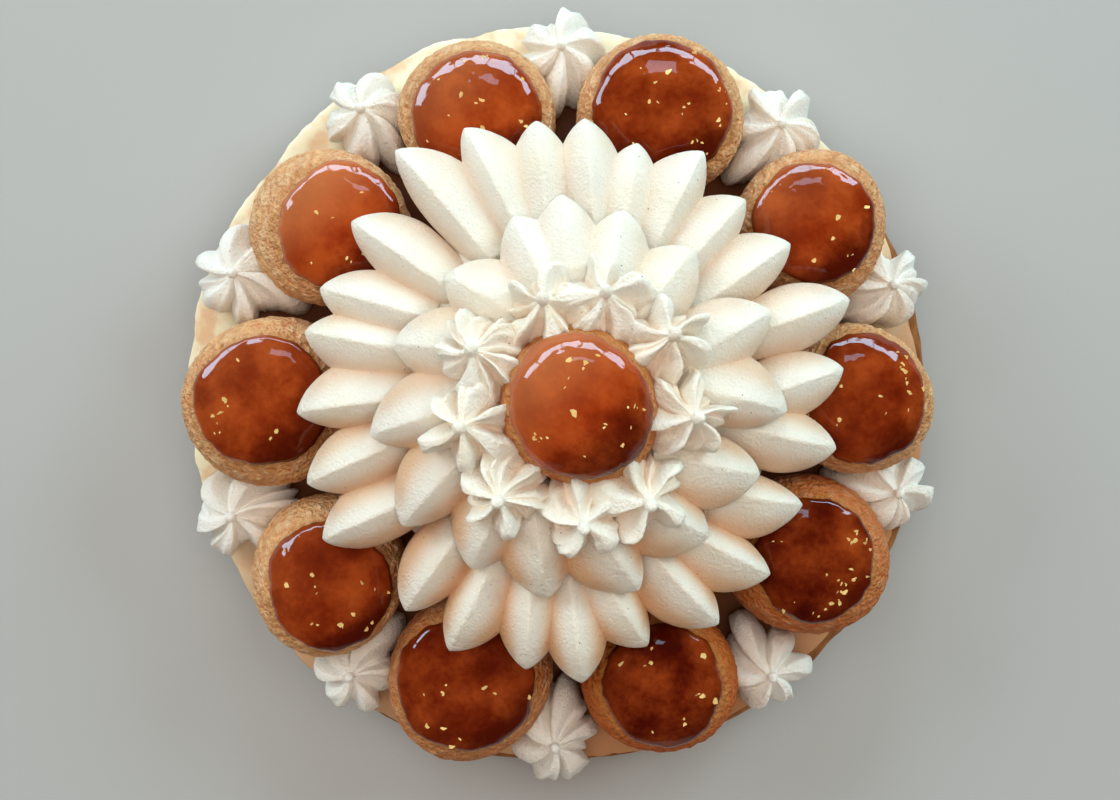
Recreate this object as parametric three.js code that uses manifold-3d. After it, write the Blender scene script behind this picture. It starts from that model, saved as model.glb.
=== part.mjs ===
// Saint-Honore cake: ten caramel-dipped choux stand in a ring on a pastry disc spread with cream,
// with a rosette of cream in each gap. Inside the ring a core of pastry carries a flower of piped
// cream petals, and an eleventh choux sits on the flower in a wreath of small rosettes.
// Millimetres, +Z up, origin at the centre of the underside. A bearing is in degrees, clockwise
// from +Y as seen from above.
import * as THREE from "three";
import { mergeVertices } from "three/addons/utils/BufferGeometryUtils.js";
import Module from "manifold-3d";

const wasm = await Module();
wasm.setup();

// Clearance between pieces that touch
const GAP = 0.3;
const CUT_GAP = 0.4;

// Pastry disc and the cream spread on it
const PASTRY_RADIUS = 109.5;
const PASTRY_HEIGHT = 9;
const PASTRY_BULGE = 1;
const PASTRY_UNEVEN = 0.003;
const PASTRY_WAVES = [5, 9];
const BED_RADIUS = 111.5;
const BED_TOP = 16;
const BED_EDGE = 4;
const BED_UNDERCUT = 1.5;
const BED_UNEVEN = 0.006;
const BED_WAVES = [6, 11];
const DISC_COLUMNS = 36;

// Choux: a squat ball with a flattened foot, and the caramel on its crown
const CHOUX_HEIGHT = 30;
const CHOUX_GIRTH_LEVEL = 13;
const CHOUX_ROUNDNESS = 2.4;
const CHOUX_FOOT_ROUNDNESS = 4;
const CHOUX_UNEVEN = 0.025;
const CHOUX_WAVES = [2, 3];
const CARAMEL_GAP = 0.5;
const CARAMEL_THICKNESS = 2.0;
const CARAMEL_LIP = 0.9;
const CARAMEL_EDGE_CURVE = 4;
const CARAMEL_UNEVEN = 0.03;
const CARAMEL_WAVES = [2, 3, 5];
const CHOUX_COLUMNS = 14;
const CHOUX_ROWS = 7;
const CARAMEL_ROWS = 7;

// Ring of choux: bearing, distance from the middle, diameter of the choux and of its caramel, and how
// far its crown leans towards +X and +Y
const CHOUX_RING = [
  [-16.6, 83.2, 44.6, 35.8, 0.9, -2.8],
  [19.4, 84.6, 46.9, 37.9, 0, 0],
  [55.9, 85.4, 44.6, 33.4, -0.9, 0],
  [90.4, 83.6, 43.5, 35.5, 0, 0],
  [122.8, 82.8, 46.6, 33.8, 0, 0],
  [160.6, 84.4, 43.8, 33.6, 0, 0],
  [198.0, 83.4, 47.3, 37.8, -1.2, 0],
  [233.0, 83.2, 44.9, 34.6, 3.4, -2.9],
  [269.2, 82.4, 49.4, 36.8, 0, 0],
  [305.8, 81.8, 45.5, 34.4, 7.0, -0.8],
];

// Rosettes in the gaps of the ring: bearing and diameter
const ROSETTE_RING_RADIUS = 97.5;
const ROSETTE_HEIGHT = 18;
const ROSETTE_PLEATS = 7;
const ROSETTE_PLEAT_DEPTH = 0.34;
const ROSETTE_TWIST = 24;
const ROSETTE_LEAN = 2;
const ROSETTE_TAIL = 0.45;
const ROSETTE_TAIL_POINT = 4;
const ROSETTE_BELLY = 0.6;
const ROSETTE_SHOULDER = 1.2;
const ROSETTE_ROWS = 6;
const ROSETTE_RING = [
  [0.0, 26.0],
  [38.9, 26.5],
  [71.4, 24.5],
  [106.0, 24.5],
  [143.0, 25.0],
  [181.0, 26.0],
  [217.0, 25.5],
  [250.0, 26.5],
  [290.6, 28.0],
  [325.2, 25.5],
];

// Core of pastry inside the ring
const CORE_RADIUS = 56;
const CORE_TOP = 43.5;

// Flower on the core: its middle, its heart and the seat for the choux on top
const FLOWER_X = 4.9;
const FLOWER_Y = -2.4;
const HEART_FOOT_RADIUS = 53;
const HEART_RADIUS = 56;
const HEART_SHOULDER = 49;
const SEAT_RADIUS = 24;
const SEAT_WALL = 1;
const SEAT_LEVEL = 53;
const NEST_RADIUS = 38;
const NEST_LEVEL = 58;
const CORE_COLUMNS = 24;

// One petal: widest at the swell, with a crisp ridge from the tip to the root. The curves are
// powers: over 1 they hold a shape back, under 1 they fill it out.
const PETAL_COLUMNS = 6;
const PETAL_TOP_COLUMNS = 4;
const PETAL_ROWS = 6;
const PETAL_SWELL = 0.4;
const PETAL_ROOT_SHARE = 0.6;
const PETAL_ROOT_CURVE = 1.5;
const PETAL_FLANK_CURVE = 0.7;
const PETAL_HEIGHT_CURVE = 0.8;
const PETAL_WIDTH_CURVE = 0.85;
const PETAL_ROW_CURVE = 1.25;
const PETAL_TIP_DEPTH = 0.8;
const PETAL_ROOT_DEPTH = 6;

// Outer petals: bearing and reach of the tip, swing off the spoke, and the wider flank's share
const OUTER_TIP_LEVEL = 50.6;
const OUTER_LENGTH = 33;
const OUTER_ROOT_RADIUS = 44;
const OUTER_HALF_WIDTH = 8.7;
const OUTER_HEIGHT = 9.6;
const OUTER_PETALS = [
  [-8.6, 77.6, 3, 0.0],
  [-22.5, 81.0, -5, -0.3],
  [-35.7, 84.8, -5, -0.35],
  [-51.1, 79.1, -4, -0.2],
  [-65.7, 76.7, -9, 0.0],
  [-75.0, 76.8, -5, 0.1],
  [-91.4, 76.2, -6, -0.3],
  [-106.0, 76.4, -8, -0.1],
  [-117.5, 78.1, 3, -0.1],
  [-139.7, 72.6, -5, -0.1],
  [-152.0, 74.9, -2, 0.25],
  [-168.6, 72.5, -8, 0.0],
  [-180.5, 74.8, -6, 0.0],
  [164.2, 67.4, -16, -0.3],
  [147.5, 69.9, -10, -0.3],
  [131.5, 68.8, -13, -0.35],
  [114.0, 65.9, -13, -0.35],
  [99.5, 70.3, 3, -0.1],
  [82.0, 72.0, -9, 0.0],
  [68.5, 78.4, 2, 0.05],
  [52.5, 71.8, 3, 0.25],
  [38.8, 71.4, 3, 0.3],
  [26.0, 76.3, 1, 0.35],
  [12.5, 72.5, -4, 0.1],
  [1.0, 77.5, -6, 0.0],
];

// Inner petals, on the roots of the outer ones
const INNER_TIP_LEVEL = 60.4;
const INNER_ROOT_RADIUS = 25;
const INNER_HALF_WIDTH = 9.6;
const INNER_HEIGHT = 9.6;
const INNER_PETALS = [
  [-5.0, 55.7, 0, 0.0],
  [-19.5, 52.7, -5, -0.1],
  [13.0, 52.7, 0, 0.0],
  [36.0, 50.9, 3, 0.1],
  [63.7, 56.0, -3, 0.1],
  [91.4, 54.4, 12, 0.2],
  [111.0, 50.7, -9, -0.2],
  [135.5, 48.3, -14, -0.3],
  [162.3, 50.8, -15, -0.3],
  [189.5, 51.2, -18, -0.1],
  [213.5, 51.4, -10, -0.1],
  [236.0, 56.4, -14, -0.2],
  [261.9, 55.7, -10, -0.2],
  [288.0, 51.7, -14, -0.1],
  [314.0, 49.2, -15, -0.1],
];

// Choux on top of the flower and its wreath of rosettes: bearing and reach of each foot
const CENTRE_CHOUX_DIAMETER = 42;
const CENTRE_CARAMEL_DIAMETER = 36.6;
const WREATH_FOOT_LEVEL = 66;
const WREATH_DIAMETER = 25;
const WREATH_HEIGHT = 14;
const WREATH_PLEATS = 6;
const WREATH_PLEAT_DEPTH = 0.36;
const WREATH_TWIST = 14;
const WREATH_LEAN = 5.6;
const WREATH_ROSETTES = [
  [-19.7, 23.6],
  [12.4, 24.4],
  [52.6, 24.6],
  [95.9, 24.6],
  [144.7, 25.4],
  [178.6, 25.6],
  [221.0, 26.8],
  [259.9, 26],
  [297.0, 26],
];

// Start of the draws that make the pieces uneven
const SEED = 20261;

const PASTRY_MATERIAL = new THREE.MeshStandardMaterial({ color: 0xc08a52, roughness: 0.8, metalness: 0 });
const BED_MATERIAL = new THREE.MeshStandardMaterial({ color: 0xf0ddb8, roughness: 0.6, metalness: 0 });
const CHOUX_MATERIAL = new THREE.MeshStandardMaterial({ color: 0xc08e5f, roughness: 0.85, metalness: 0 });
const CARAMEL_MATERIAL = new THREE.MeshStandardMaterial({ color: 0x8a3a18, roughness: 0.12, metalness: 0 });
const CREAM_MATERIAL = new THREE.MeshStandardMaterial({ color: 0xf8f2e6, roughness: 0.55, metalness: 0 });

// Repeatable draws between -1 and 1
function seededDraw(seed) {
  let state = seed;
  return () => {
    state = (state * 1664525 + 1013904223) % 4294967296;
    return (state / 4294967296) * 2 - 1;
  };
}

function spoke(bearing, reach) {
  const angle = THREE.MathUtils.degToRad(bearing);
  return new THREE.Vector2(Math.sin(angle) * reach, Math.cos(angle) * reach);
}

function joined(geometry) {
  geometry.deleteAttribute("normal");
  geometry.deleteAttribute("uv");
  return mergeVertices(geometry);
}

// A closed skin of rings between two poles: point(turn, run) places each share of a turn, counted
// anticlockwise as seen from the first pole, and of the way from the first pole to the last.
function closedSkin(columns, rows, point) {
  const geometry = new THREE.SphereGeometry(1, columns, rows);
  const shares = geometry.getAttribute("uv");
  const places = geometry.getAttribute("position");
  for (let i = 0; i < places.count; i += 1) {
    const place = point(shares.getX(i), 1 - shares.getY(i));
    places.setXYZ(i, place.x, place.y, place.z);
  }
  return joined(geometry);
}

// A disc turned about +Z from a half section of [radius, level] pairs, its edge made uneven
function turnedDisc(section, columns, unevenness) {
  const outline = section.map(([radius, level]) => new THREE.Vector2(radius, level));
  const geometry = new THREE.LatheGeometry(outline, columns);
  const places = geometry.getAttribute("position");
  for (let i = 0; i < places.count; i += 1) {
    const across = places.getZ(i);
    const along = places.getX(i);
    const share = unevenness(Math.atan2(along, across));
    places.setXYZ(i, across * share, along * share, places.getY(i));
  }
  return joined(geometry);
}

function toSolid(geometry) {
  const vertProperties = Float32Array.from(geometry.getAttribute("position").array);
  const triVerts = Uint32Array.from(geometry.index.array);
  return new wasm.Manifold(new wasm.Mesh({ numProp: 3, vertProperties, triVerts }));
}

function toGeometry(solid) {
  const mesh = solid.getMesh();
  const geometry = new THREE.BufferGeometry();
  geometry.setAttribute("position", new THREE.BufferAttribute(mesh.vertProperties, 3));
  geometry.setIndex(new THREE.BufferAttribute(mesh.triVerts, 1));
  return geometry;
}

// The largest body of a solid, without the loose scraps that a cut can leave
function mainBody(solid) {
  const bodies = solid.decompose();
  return bodies.reduce((largest, body) => (body.volume() > largest.volume() ? body : largest));
}

const draw = seededDraw(SEED);

// Wavy share of a radius round a piece, with phases of its own
function waviness(strength, waves) {
  const phases = waves.map(() => draw() * Math.PI);
  return (angle) => waves.reduce(
    (share, wave, i) => share + (strength / (i + 1)) * Math.cos(wave * angle + phases[i]),
    1,
  );
}

// Level of a choux's crown above its foot at a share of its girth
function crownLevel(share) {
  const fall = Math.max(0, 1 - share ** CHOUX_ROUNDNESS) ** (1 / CHOUX_ROUNDNESS);
  return CHOUX_GIRTH_LEVEL + (CHOUX_HEIGHT - CHOUX_GIRTH_LEVEL) * fall;
}

// A place of a choux or its caramel, carried along by the lean of the crown
function leaning(x, y, level, lean) {
  const rise = Math.max(0, level - CHOUX_GIRTH_LEVEL) / (CHOUX_HEIGHT - CHOUX_GIRTH_LEVEL);
  return new THREE.Vector3(x + lean.x * rise, y + lean.y * rise, level);
}

function chouxGeometry(diameter, girth, lean, grow) {
  return closedSkin(CHOUX_COLUMNS, CHOUX_ROWS, (turn, run) => {
    const angle = turn * 2 * Math.PI;
    const polar = run * Math.PI;
    const share = Math.max(0, Math.sin(polar)) ** (2 / CHOUX_ROUNDNESS);
    const radius = share * ((diameter / 2) * girth(angle) + grow);
    const foot = Math.abs(Math.cos(polar)) ** (2 / CHOUX_FOOT_ROUNDNESS);
    const level = run <= 0.5 ? crownLevel(share) + grow : CHOUX_GIRTH_LEVEL * (1 - foot) - grow;
    return leaning(radius * Math.cos(angle), radius * Math.sin(angle), level, lean);
  });
}

// Caramel: follows the crown of its choux at a small gap and ends in a thin lip
function caramelGeometry(diameter, caramelDiameter, girth, outline, lean) {
  return closedSkin(CHOUX_COLUMNS, CARAMEL_ROWS, (turn, run) => {
    const angle = turn * 2 * Math.PI;
    const share = Math.max(0, Math.sin(run * Math.PI));
    const radius = share * (caramelDiameter / 2) * outline(angle);
    const crown = crownLevel(radius / ((diameter / 2) * girth(angle))) + CARAMEL_GAP;
    const edge = share ** CARAMEL_EDGE_CURVE;
    const thickness = CARAMEL_THICKNESS + (CARAMEL_LIP - CARAMEL_THICKNESS) * edge;
    const level = run < 0.5 ? crown + thickness : crown;
    return leaning(radius * Math.cos(angle), radius * Math.sin(angle), level, lean);
  });
}

// Rosette piped through a star nozzle: pleats that turn as they draw in to the peak. The tail is
// one longer pleat towards -X, and the lean carries the peak towards +X.
function rosetteGeometry(size, grow) {
  return closedSkin(2 * size.pleats, ROSETTE_ROWS, (turn, run) => {
    const fall = Math.min(1, (run * ROSETTE_ROWS) / (ROSETTE_ROWS - 1));
    const rise = 1 - fall;
    const angle = turn * 2 * Math.PI;
    const valley = size.depth * (1 - Math.cos(size.pleats * angle)) / 2;
    const belly = run < 1 ? Math.sin(ROSETTE_BELLY * Math.PI * fall) ** ROSETTE_SHOULDER : 0;
    const twisted = angle + THREE.MathUtils.degToRad(size.twist) * rise;
    const tail = 1 + size.tail * Math.max(0, -Math.cos(twisted)) ** ROSETTE_TAIL_POINT * fall;
    const grown = run > 0 && run < 1 ? grow : 0;
    const radius = (size.diameter / 2) * belly * (1 - valley) * tail + grown;
    const x = radius * Math.cos(twisted) + size.lean * rise;
    return new THREE.Vector3(x, radius * Math.sin(twisted), (size.height + grow) * rise);
  });
}

// Petal with its tip at the origin and its root towards -X. A positive wider share gives more of
// the width to the flank on the +Y side of the ridge.
function petalGeometry(size) {
  const swell = PETAL_SWELL * size.length;
  return closedSkin(PETAL_COLUMNS, PETAL_ROWS, (turn, run) => {
    const back = size.length * run ** PETAL_ROW_CURVE;
    const front = Math.min(1, back / swell);
    const rear = Math.max(0, (back - swell) / (size.length - swell));
    const thinning = (1 - PETAL_ROOT_SHARE) * rear ** PETAL_ROOT_CURVE;
    const fullness = (1 - (1 - front) ** 2) * (1 - thinning);
    const open = run > 0 && run < 1 ? 1 : 0;
    const topShare = PETAL_TOP_COLUMNS / PETAL_COLUMNS;
    const over = turn <= topShare;
    const angle = over ? (turn / topShare) * Math.PI : Math.PI * (1 + (turn - topShare) / (1 - topShare));
    const side = Math.cos(angle);
    const flank = 1 + size.wider * Math.sign(side);
    const ridge = (1 - Math.abs(side)) ** PETAL_FLANK_CURVE;
    const depth = PETAL_TIP_DEPTH + (PETAL_ROOT_DEPTH - PETAL_TIP_DEPTH) * front ** 2;
    const level = over
      ? (size.height * fullness ** PETAL_HEIGHT_CURVE + size.grow) * ridge
      : (depth * fullness + size.grow) * Math.sin(angle);
    const across = (size.halfWidth * fullness ** PETAL_WIDTH_CURVE * flank + size.grow) * side;
    return new THREE.Vector3(size.grow - back, across * open, level * open);
  });
}

// Turns and moves a piece built towards +X so that it points outwards on its spoke
function onSpoke(geometry, bearing, reach, swing, level) {
  const place = spoke(bearing, reach);
  geometry.rotateZ(THREE.MathUtils.degToRad(90 - bearing - swing));
  geometry.translate(FLOWER_X + place.x, FLOWER_Y + place.y, level);
  return geometry;
}

function outerPetal([bearing, reach, swing, wider]) {
  const size = {
    length: Math.max(OUTER_LENGTH, reach - OUTER_ROOT_RADIUS),
    halfWidth: OUTER_HALF_WIDTH,
    height: OUTER_HEIGHT,
    wider,
    grow: 0,
  };
  return toSolid(onSpoke(petalGeometry(size), bearing, reach, swing, OUTER_TIP_LEVEL));
}

function innerPetal([bearing, reach, swing, wider], grow) {
  const size = {
    length: reach - INNER_ROOT_RADIUS + 2 * grow,
    halfWidth: INNER_HALF_WIDTH,
    height: INNER_HEIGHT,
    wider,
    grow,
  };
  return toSolid(onSpoke(petalGeometry(size), bearing, reach, swing, INNER_TIP_LEVEL));
}

// Heart of the flower, which the petals grow from, with a seat for the choux on top
function heartSolid(grow) {
  const section = [
    [0, CORE_TOP + GAP],
    [HEART_FOOT_RADIUS, CORE_TOP + GAP],
    [HEART_RADIUS, HEART_SHOULDER],
    [(HEART_RADIUS + NEST_RADIUS) / 2, (HEART_SHOULDER + NEST_LEVEL) / 2 + grow],
    [NEST_RADIUS, NEST_LEVEL + grow],
    [SEAT_RADIUS, NEST_LEVEL + grow],
    [SEAT_RADIUS - SEAT_WALL, SEAT_LEVEL],
    [0, SEAT_LEVEL],
  ];
  const geometry = turnedDisc(section, CORE_COLUMNS, () => 1);
  geometry.translate(FLOWER_X / 2, FLOWER_Y / 2, 0);
  return toSolid(geometry);
}

const cake = new THREE.Group();

function addPiece(name, geometry, material, parent) {
  const piece = new THREE.Mesh(geometry, material.clone());
  piece.name = name;
  parent.add(piece);
}

function numbered(name, index) {
  return `${name}_${String(index + 1).padStart(2, "0")}`;
}

// Pastry disc, the bed of cream and the core of pastry inside the ring
const pastrySection = [
  [0, 0],
  [PASTRY_RADIUS - PASTRY_BULGE, 0],
  [PASTRY_RADIUS, PASTRY_HEIGHT / 2],
  [PASTRY_RADIUS - PASTRY_BULGE, PASTRY_HEIGHT],
  [0, PASTRY_HEIGHT],
];
const coreSection = [
  [0, BED_TOP + GAP],
  [CORE_RADIUS, BED_TOP + GAP],
  [CORE_RADIUS, CORE_TOP],
  [0, CORE_TOP],
];
const bedSection = [
  [0, PASTRY_HEIGHT + GAP],
  [BED_RADIUS - BED_UNDERCUT, PASTRY_HEIGHT + GAP],
  [BED_RADIUS, (PASTRY_HEIGHT + BED_TOP) / 2],
  [BED_RADIUS - BED_EDGE / 4, BED_TOP - BED_EDGE / 4],
  [BED_RADIUS - BED_EDGE, BED_TOP],
  [0, BED_TOP],
];
const pastryEdge = waviness(PASTRY_UNEVEN, PASTRY_WAVES);
const bedEdge = waviness(BED_UNEVEN, BED_WAVES);
addPiece("pastry_base", turnedDisc(pastrySection, DISC_COLUMNS, pastryEdge), PASTRY_MATERIAL, cake);
addPiece("cream_bed", turnedDisc(bedSection, DISC_COLUMNS, bedEdge), BED_MATERIAL, cake);
addPiece("pastry_core", turnedDisc(coreSection, CORE_COLUMNS, () => 1), PASTRY_MATERIAL, cake);

// A choux and its caramel stand on a spot of their own, and its grown solid cuts what leans on it
function addChoux(suffix, diameter, caramelDiameter, lean, x, y, level) {
  const girth = waviness(CHOUX_UNEVEN, CHOUX_WAVES);
  const outline = waviness(CARAMEL_UNEVEN, CARAMEL_WAVES);
  const spot = new THREE.Group();
  spot.position.set(x, y, level);
  cake.add(spot);
  addPiece(`choux${suffix}`, chouxGeometry(diameter, girth, lean, 0), CHOUX_MATERIAL, spot);
  const caramel = caramelGeometry(diameter, caramelDiameter, girth, outline, lean);
  addPiece(`caramel${suffix}`, caramel, CARAMEL_MATERIAL, spot);
  const grown = chouxGeometry(diameter, girth, lean, CUT_GAP);
  grown.translate(x, y, level);
  return toSolid(grown);
}

const ringCutters = CHOUX_RING.map(([bearing, reach, diameter, caramelDiameter, leanX, leanY], i) => {
  const place = spoke(bearing, reach);
  const lean = new THREE.Vector2(leanX, leanY);
  return addChoux(numbered("", i), diameter, caramelDiameter, lean, place.x, place.y, BED_TOP + GAP);
});
const centreCutter = addChoux(
  "_centre",
  CENTRE_CHOUX_DIAMETER,
  CENTRE_CARAMEL_DIAMETER,
  new THREE.Vector2(0, 0),
  FLOWER_X,
  FLOWER_Y,
  SEAT_LEVEL + GAP,
);

// Rosettes in the gaps of the ring, pressed against the choux beside them
ROSETTE_RING.forEach(([bearing, diameter], i) => {
  const size = {
    diameter,
    height: ROSETTE_HEIGHT,
    pleats: ROSETTE_PLEATS,
    depth: ROSETTE_PLEAT_DEPTH,
    twist: ROSETTE_TWIST,
    lean: ROSETTE_LEAN,
    tail: ROSETTE_TAIL,
  };
  const place = spoke(bearing, ROSETTE_RING_RADIUS);
  const geometry = rosetteGeometry(size, 0);
  geometry.rotateZ(THREE.MathUtils.degToRad(90 - bearing));
  geometry.translate(place.x, place.y, BED_TOP + GAP);
  const rosette = ringCutters.reduce((solid, cutter) => solid.subtract(cutter), toSolid(geometry));
  addPiece(numbered("rosette_outer", i), toGeometry(mainBody(rosette)), CREAM_MATERIAL, cake);
});

// Flower: its heart and all the petals are one mass of cream
const outerRing = OUTER_PETALS.map(outerPetal);
const innerRing = INNER_PETALS.map((petal) => innerPetal(petal, 0));
const petals = [...outerRing, ...innerRing];
const flower = petals.reduce((solid, petal) => solid.add(petal), heartSolid(0));
addPiece("cream_flower", toGeometry(mainBody(flower)), CREAM_MATERIAL, cake);

// Wreath of rosettes round the choux on top, settled onto the inner petals and onto each other
const wreathBed = INNER_PETALS
  .map((petal) => innerPetal(petal, CUT_GAP))
  .reduce((solid, petal) => solid.add(petal), heartSolid(CUT_GAP));
const wreathSize = {
  diameter: WREATH_DIAMETER,
  height: WREATH_HEIGHT,
  pleats: WREATH_PLEATS,
  depth: WREATH_PLEAT_DEPTH,
  twist: WREATH_TWIST,
  lean: WREATH_LEAN,
  tail: 0,
};

function wreathRosette([bearing, reach], grow) {
  return toSolid(onSpoke(rosetteGeometry(wreathSize, grow), bearing, reach, 0, WREATH_FOOT_LEVEL));
}

WREATH_ROSETTES.forEach((rosette, i) => {
  const before = WREATH_ROSETTES.slice(0, i).map((other) => wreathRosette(other, CUT_GAP));
  const cutters = [wreathBed, centreCutter, ...before];
  const cut = cutters.reduce((solid, cutter) => solid.subtract(cutter), wreathRosette(rosette, 0));
  addPiece(numbered("rosette_centre", i), toGeometry(mainBody(cut)), CREAM_MATERIAL, cake);
});

export default cake;
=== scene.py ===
"""Looks of a Saint-Honore cake: pastry, cream, choux dipped in caramel, rosettes and a flower of petals.

Lengths in the tables are millimetres and angles degrees, unless a comment says otherwise. A bearing runs
clockwise from +Y as seen from above.
"""

import math
from functools import partial

import bpy
from bpy.props import FloatProperty, FloatVectorProperty, IntProperty, PointerProperty
from bpy.types import Operator, Panel, PropertyGroup
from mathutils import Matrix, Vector


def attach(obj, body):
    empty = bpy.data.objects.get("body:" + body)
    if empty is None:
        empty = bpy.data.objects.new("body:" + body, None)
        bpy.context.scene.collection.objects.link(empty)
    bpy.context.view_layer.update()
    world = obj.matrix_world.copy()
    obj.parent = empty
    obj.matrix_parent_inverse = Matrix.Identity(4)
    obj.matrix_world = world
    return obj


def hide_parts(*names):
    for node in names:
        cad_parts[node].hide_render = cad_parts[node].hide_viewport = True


bl_info = {
    "name": "Saint-Honore Cake",
    "version": (1, 0, 0),
    "blender": (4, 5, 0),
    "location": "View3D > Sidebar > Cake",
    "description": "Builds a Saint-Honore cake around its packed solids",
    "category": "Mesh",
}

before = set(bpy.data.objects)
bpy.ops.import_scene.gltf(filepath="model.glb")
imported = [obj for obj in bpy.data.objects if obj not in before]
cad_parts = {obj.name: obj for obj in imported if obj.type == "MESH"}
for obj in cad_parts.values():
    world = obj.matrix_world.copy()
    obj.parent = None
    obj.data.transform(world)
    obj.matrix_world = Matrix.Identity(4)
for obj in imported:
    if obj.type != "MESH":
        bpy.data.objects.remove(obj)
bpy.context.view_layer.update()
BODY = "root"

# Metres in a millimetre, and how near to each other, in metres, the points of a seam are welded
MM = 0.001
WELD = 0.000002

# Bearing of +X, to which an unturned skin faces
EAST = 90

# Ring of choux: bearing, distance from the middle, diameter of the choux and of its caramel, and how
# far its crown leans towards +X and +Y
CHOUX_RING = (
    (-16.6, 83.2, 44.6, 35.8, 0.9, -2.8),
    (19.4, 84.6, 46.9, 37.9, 0, 0),
    (55.9, 85.4, 44.6, 33.4, -0.9, 0),
    (90.4, 83.6, 43.5, 35.5, 0, 0),
    (122.8, 82.8, 46.6, 33.8, 0, 0),
    (160.6, 84.4, 43.8, 33.6, 0, 0),
    (198.0, 83.4, 47.3, 37.8, -1.2, 0),
    (233.0, 83.2, 44.9, 34.6, 3.4, -2.9),
    (269.2, 82.4, 49.4, 36.8, 0, 0),
    (305.8, 81.8, 45.5, 34.4, 7.0, -0.8),
)

# Choux on top: its diameter and that of its caramel, and how far its crown leans
CENTRE_CHOUX = (42.0, 36.6, 0, 0)

# Powers of a choux's curves over and under its girth, squarer when larger
CROWN_ROUNDNESS = 2.4
FOOT_ROUNDNESS = 4.0

# Waves round a choux and round the edge of its caramel, under the names of their phases
GIRTH_WAVES = {"girth_1": 2, "girth_2": 3}
OUTLINE_WAVES = {"outline_1": 2, "outline_2": 3, "outline_3": 5}

# How dark the caramel is on each choux of the ring, and on the one on top: partly its own tone, partly
# painted shade that is darker on the choux towards -Y
CARAMEL_TONES = (0.25, 0.55, 0.35, 0.55, 0.75, 0.8, 0.65, 0.5, 0.45, 0.1)
CENTRE_TONE = 0.15

# How brown the crust of each choux of the ring is, and that of the one on top: partly baked colour, partly
# painted shade, strongest on the choux towards -Y and on the one on top
CRUST_TONES = (0, 0, 0.15, 0, 0.9, 1.4, 0.6, 0, 0.05, 0)
CENTRE_CRUST_TONE = 0.8

# Rosettes in the gaps of the ring: bearing, diameter and turn of the pleats
ROSETTE_RING = (
    (0.0, 26.0, 10),
    (38.9, 26.5, 0),
    (71.4, 24.5, 20),
    (106.0, 24.5, -8),
    (143.0, 25.0, 5),
    (181.0, 26.0, 14),
    (217.0, 25.5, -5),
    (250.0, 26.5, 9),
    (290.6, 28.0, 0),
    (325.2, 25.5, -12),
)
ROSETTE_RING_RADIUS = 97.5
RING_PLEATS = 6

# Outer petals: bearing and reach of the tip, swing off the spoke, and the wider flank's share
OUTER_PETALS = (
    (-8.6, 77.6, 3, 0.0),
    (-22.5, 81.0, -5, -0.3),
    (-35.7, 84.8, -5, -0.35),
    (-51.1, 79.1, -4, -0.2),
    (-65.7, 76.7, -9, 0.0),
    (-75.0, 76.8, -5, 0.1),
    (-91.4, 76.2, -6, -0.3),
    (-106.0, 76.4, -8, -0.1),
    (-117.5, 78.1, 3, -0.1),
    (-139.7, 72.6, -5, -0.1),
    (-152.0, 74.9, -2, 0.25),
    (-168.6, 72.5, -8, 0.0),
    (-180.5, 74.8, -6, 0.0),
    (164.2, 67.4, -16, -0.3),
    (147.5, 69.9, -10, -0.3),
    (131.5, 68.8, -13, -0.35),
    (114.0, 65.9, -13, -0.35),
    (99.5, 70.3, 3, -0.1),
    (82.0, 72.0, -9, 0.0),
    (68.5, 78.4, 2, 0.05),
    (52.5, 71.8, 3, 0.25),
    (38.8, 71.4, 3, 0.3),
    (26.0, 76.3, 1, 0.35),
    (12.5, 72.5, -4, 0.1),
    (1.0, 77.5, -6, 0.0),
)
OUTER_TIP_LEVEL = 50.6
OUTER_LENGTH = 33.0
OUTER_ROOT_RADIUS = 44.0

# Inner petals, on the roots of the outer ones
INNER_PETALS = (
    (-5.0, 55.7, 0, 0.0),
    (-19.5, 52.7, -5, -0.1),
    (13.0, 52.7, 0, 0.0),
    (36.0, 50.9, 3, 0.1),
    (63.7, 56.0, -3, 0.1),
    (91.4, 54.4, 12, 0.2),
    (111.0, 50.7, -9, -0.2),
    (135.5, 48.3, -14, -0.3),
    (162.3, 50.8, -15, -0.3),
    (189.5, 51.2, -18, -0.1),
    (213.5, 51.4, -10, -0.1),
    (236.0, 56.4, -14, -0.2),
    (261.9, 55.7, -10, -0.2),
    (288.0, 51.7, -14, -0.1),
    (314.0, 49.2, -15, -0.1),
)
INNER_TIP_LEVEL = 60.4
INNER_ROOT_RADIUS = 21.5

# Rosettes of the wreath: bearing and reach of the foot, pleats and turn of the pleats
WREATH_ROSETTES = (
    (-19.7, 23.6, 5, 0),
    (12.4, 24.4, 5, 20),
    (52.6, 24.6, 6, 5),
    (95.9, 24.6, 6, -10),
    (144.7, 25.4, 5, 12),
    (178.6, 25.6, 5, 0),
    (221.0, 26.8, 6, 16),
    (259.9, 26.0, 6, -6),
    (297.0, 26.0, 5, 8),
)
WREATH_FOOT_LEVEL = 66.0
WREATH_DIAMETER = 25.0

# Levels and places that the pieces share
FLOWER_MIDDLE = (4.9, -2.4)
HEART_MIDDLE = (FLOWER_MIDDLE[0] / 2, FLOWER_MIDDLE[1] / 2)
BED_MIDDLE = (-1.7, 1.3)
BED_LEVEL = 16.3
SEAT_LEVEL = 53.3

# Heart of the flower: powers of its dome, radii over which its seat ends, and over which the cream heaped
# round the seat rises and falls
HEART_DOME = (3.2, 0.6)
SEAT_END = (19, 21)
COLLAR_RISE = (19.5, 21.5)
COLLAR_FALL = (34, 40)

# Edges of the discs: power of the rounding, share that the edge wavers, and its waves
PASTRY_EDGE = (7, 0.003, (5, 9))
BED_EDGE = (5, 0.006, (6, 11))
CORE_EDGE = (8, 0.0, ())

# Draws of the phases, as the solids make them
UNEVEN_SEED = 20261
DRAW_FACTOR = 1664525
DRAW_STEP = 1013904223
DRAW_RANGE = 4294967296

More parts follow.
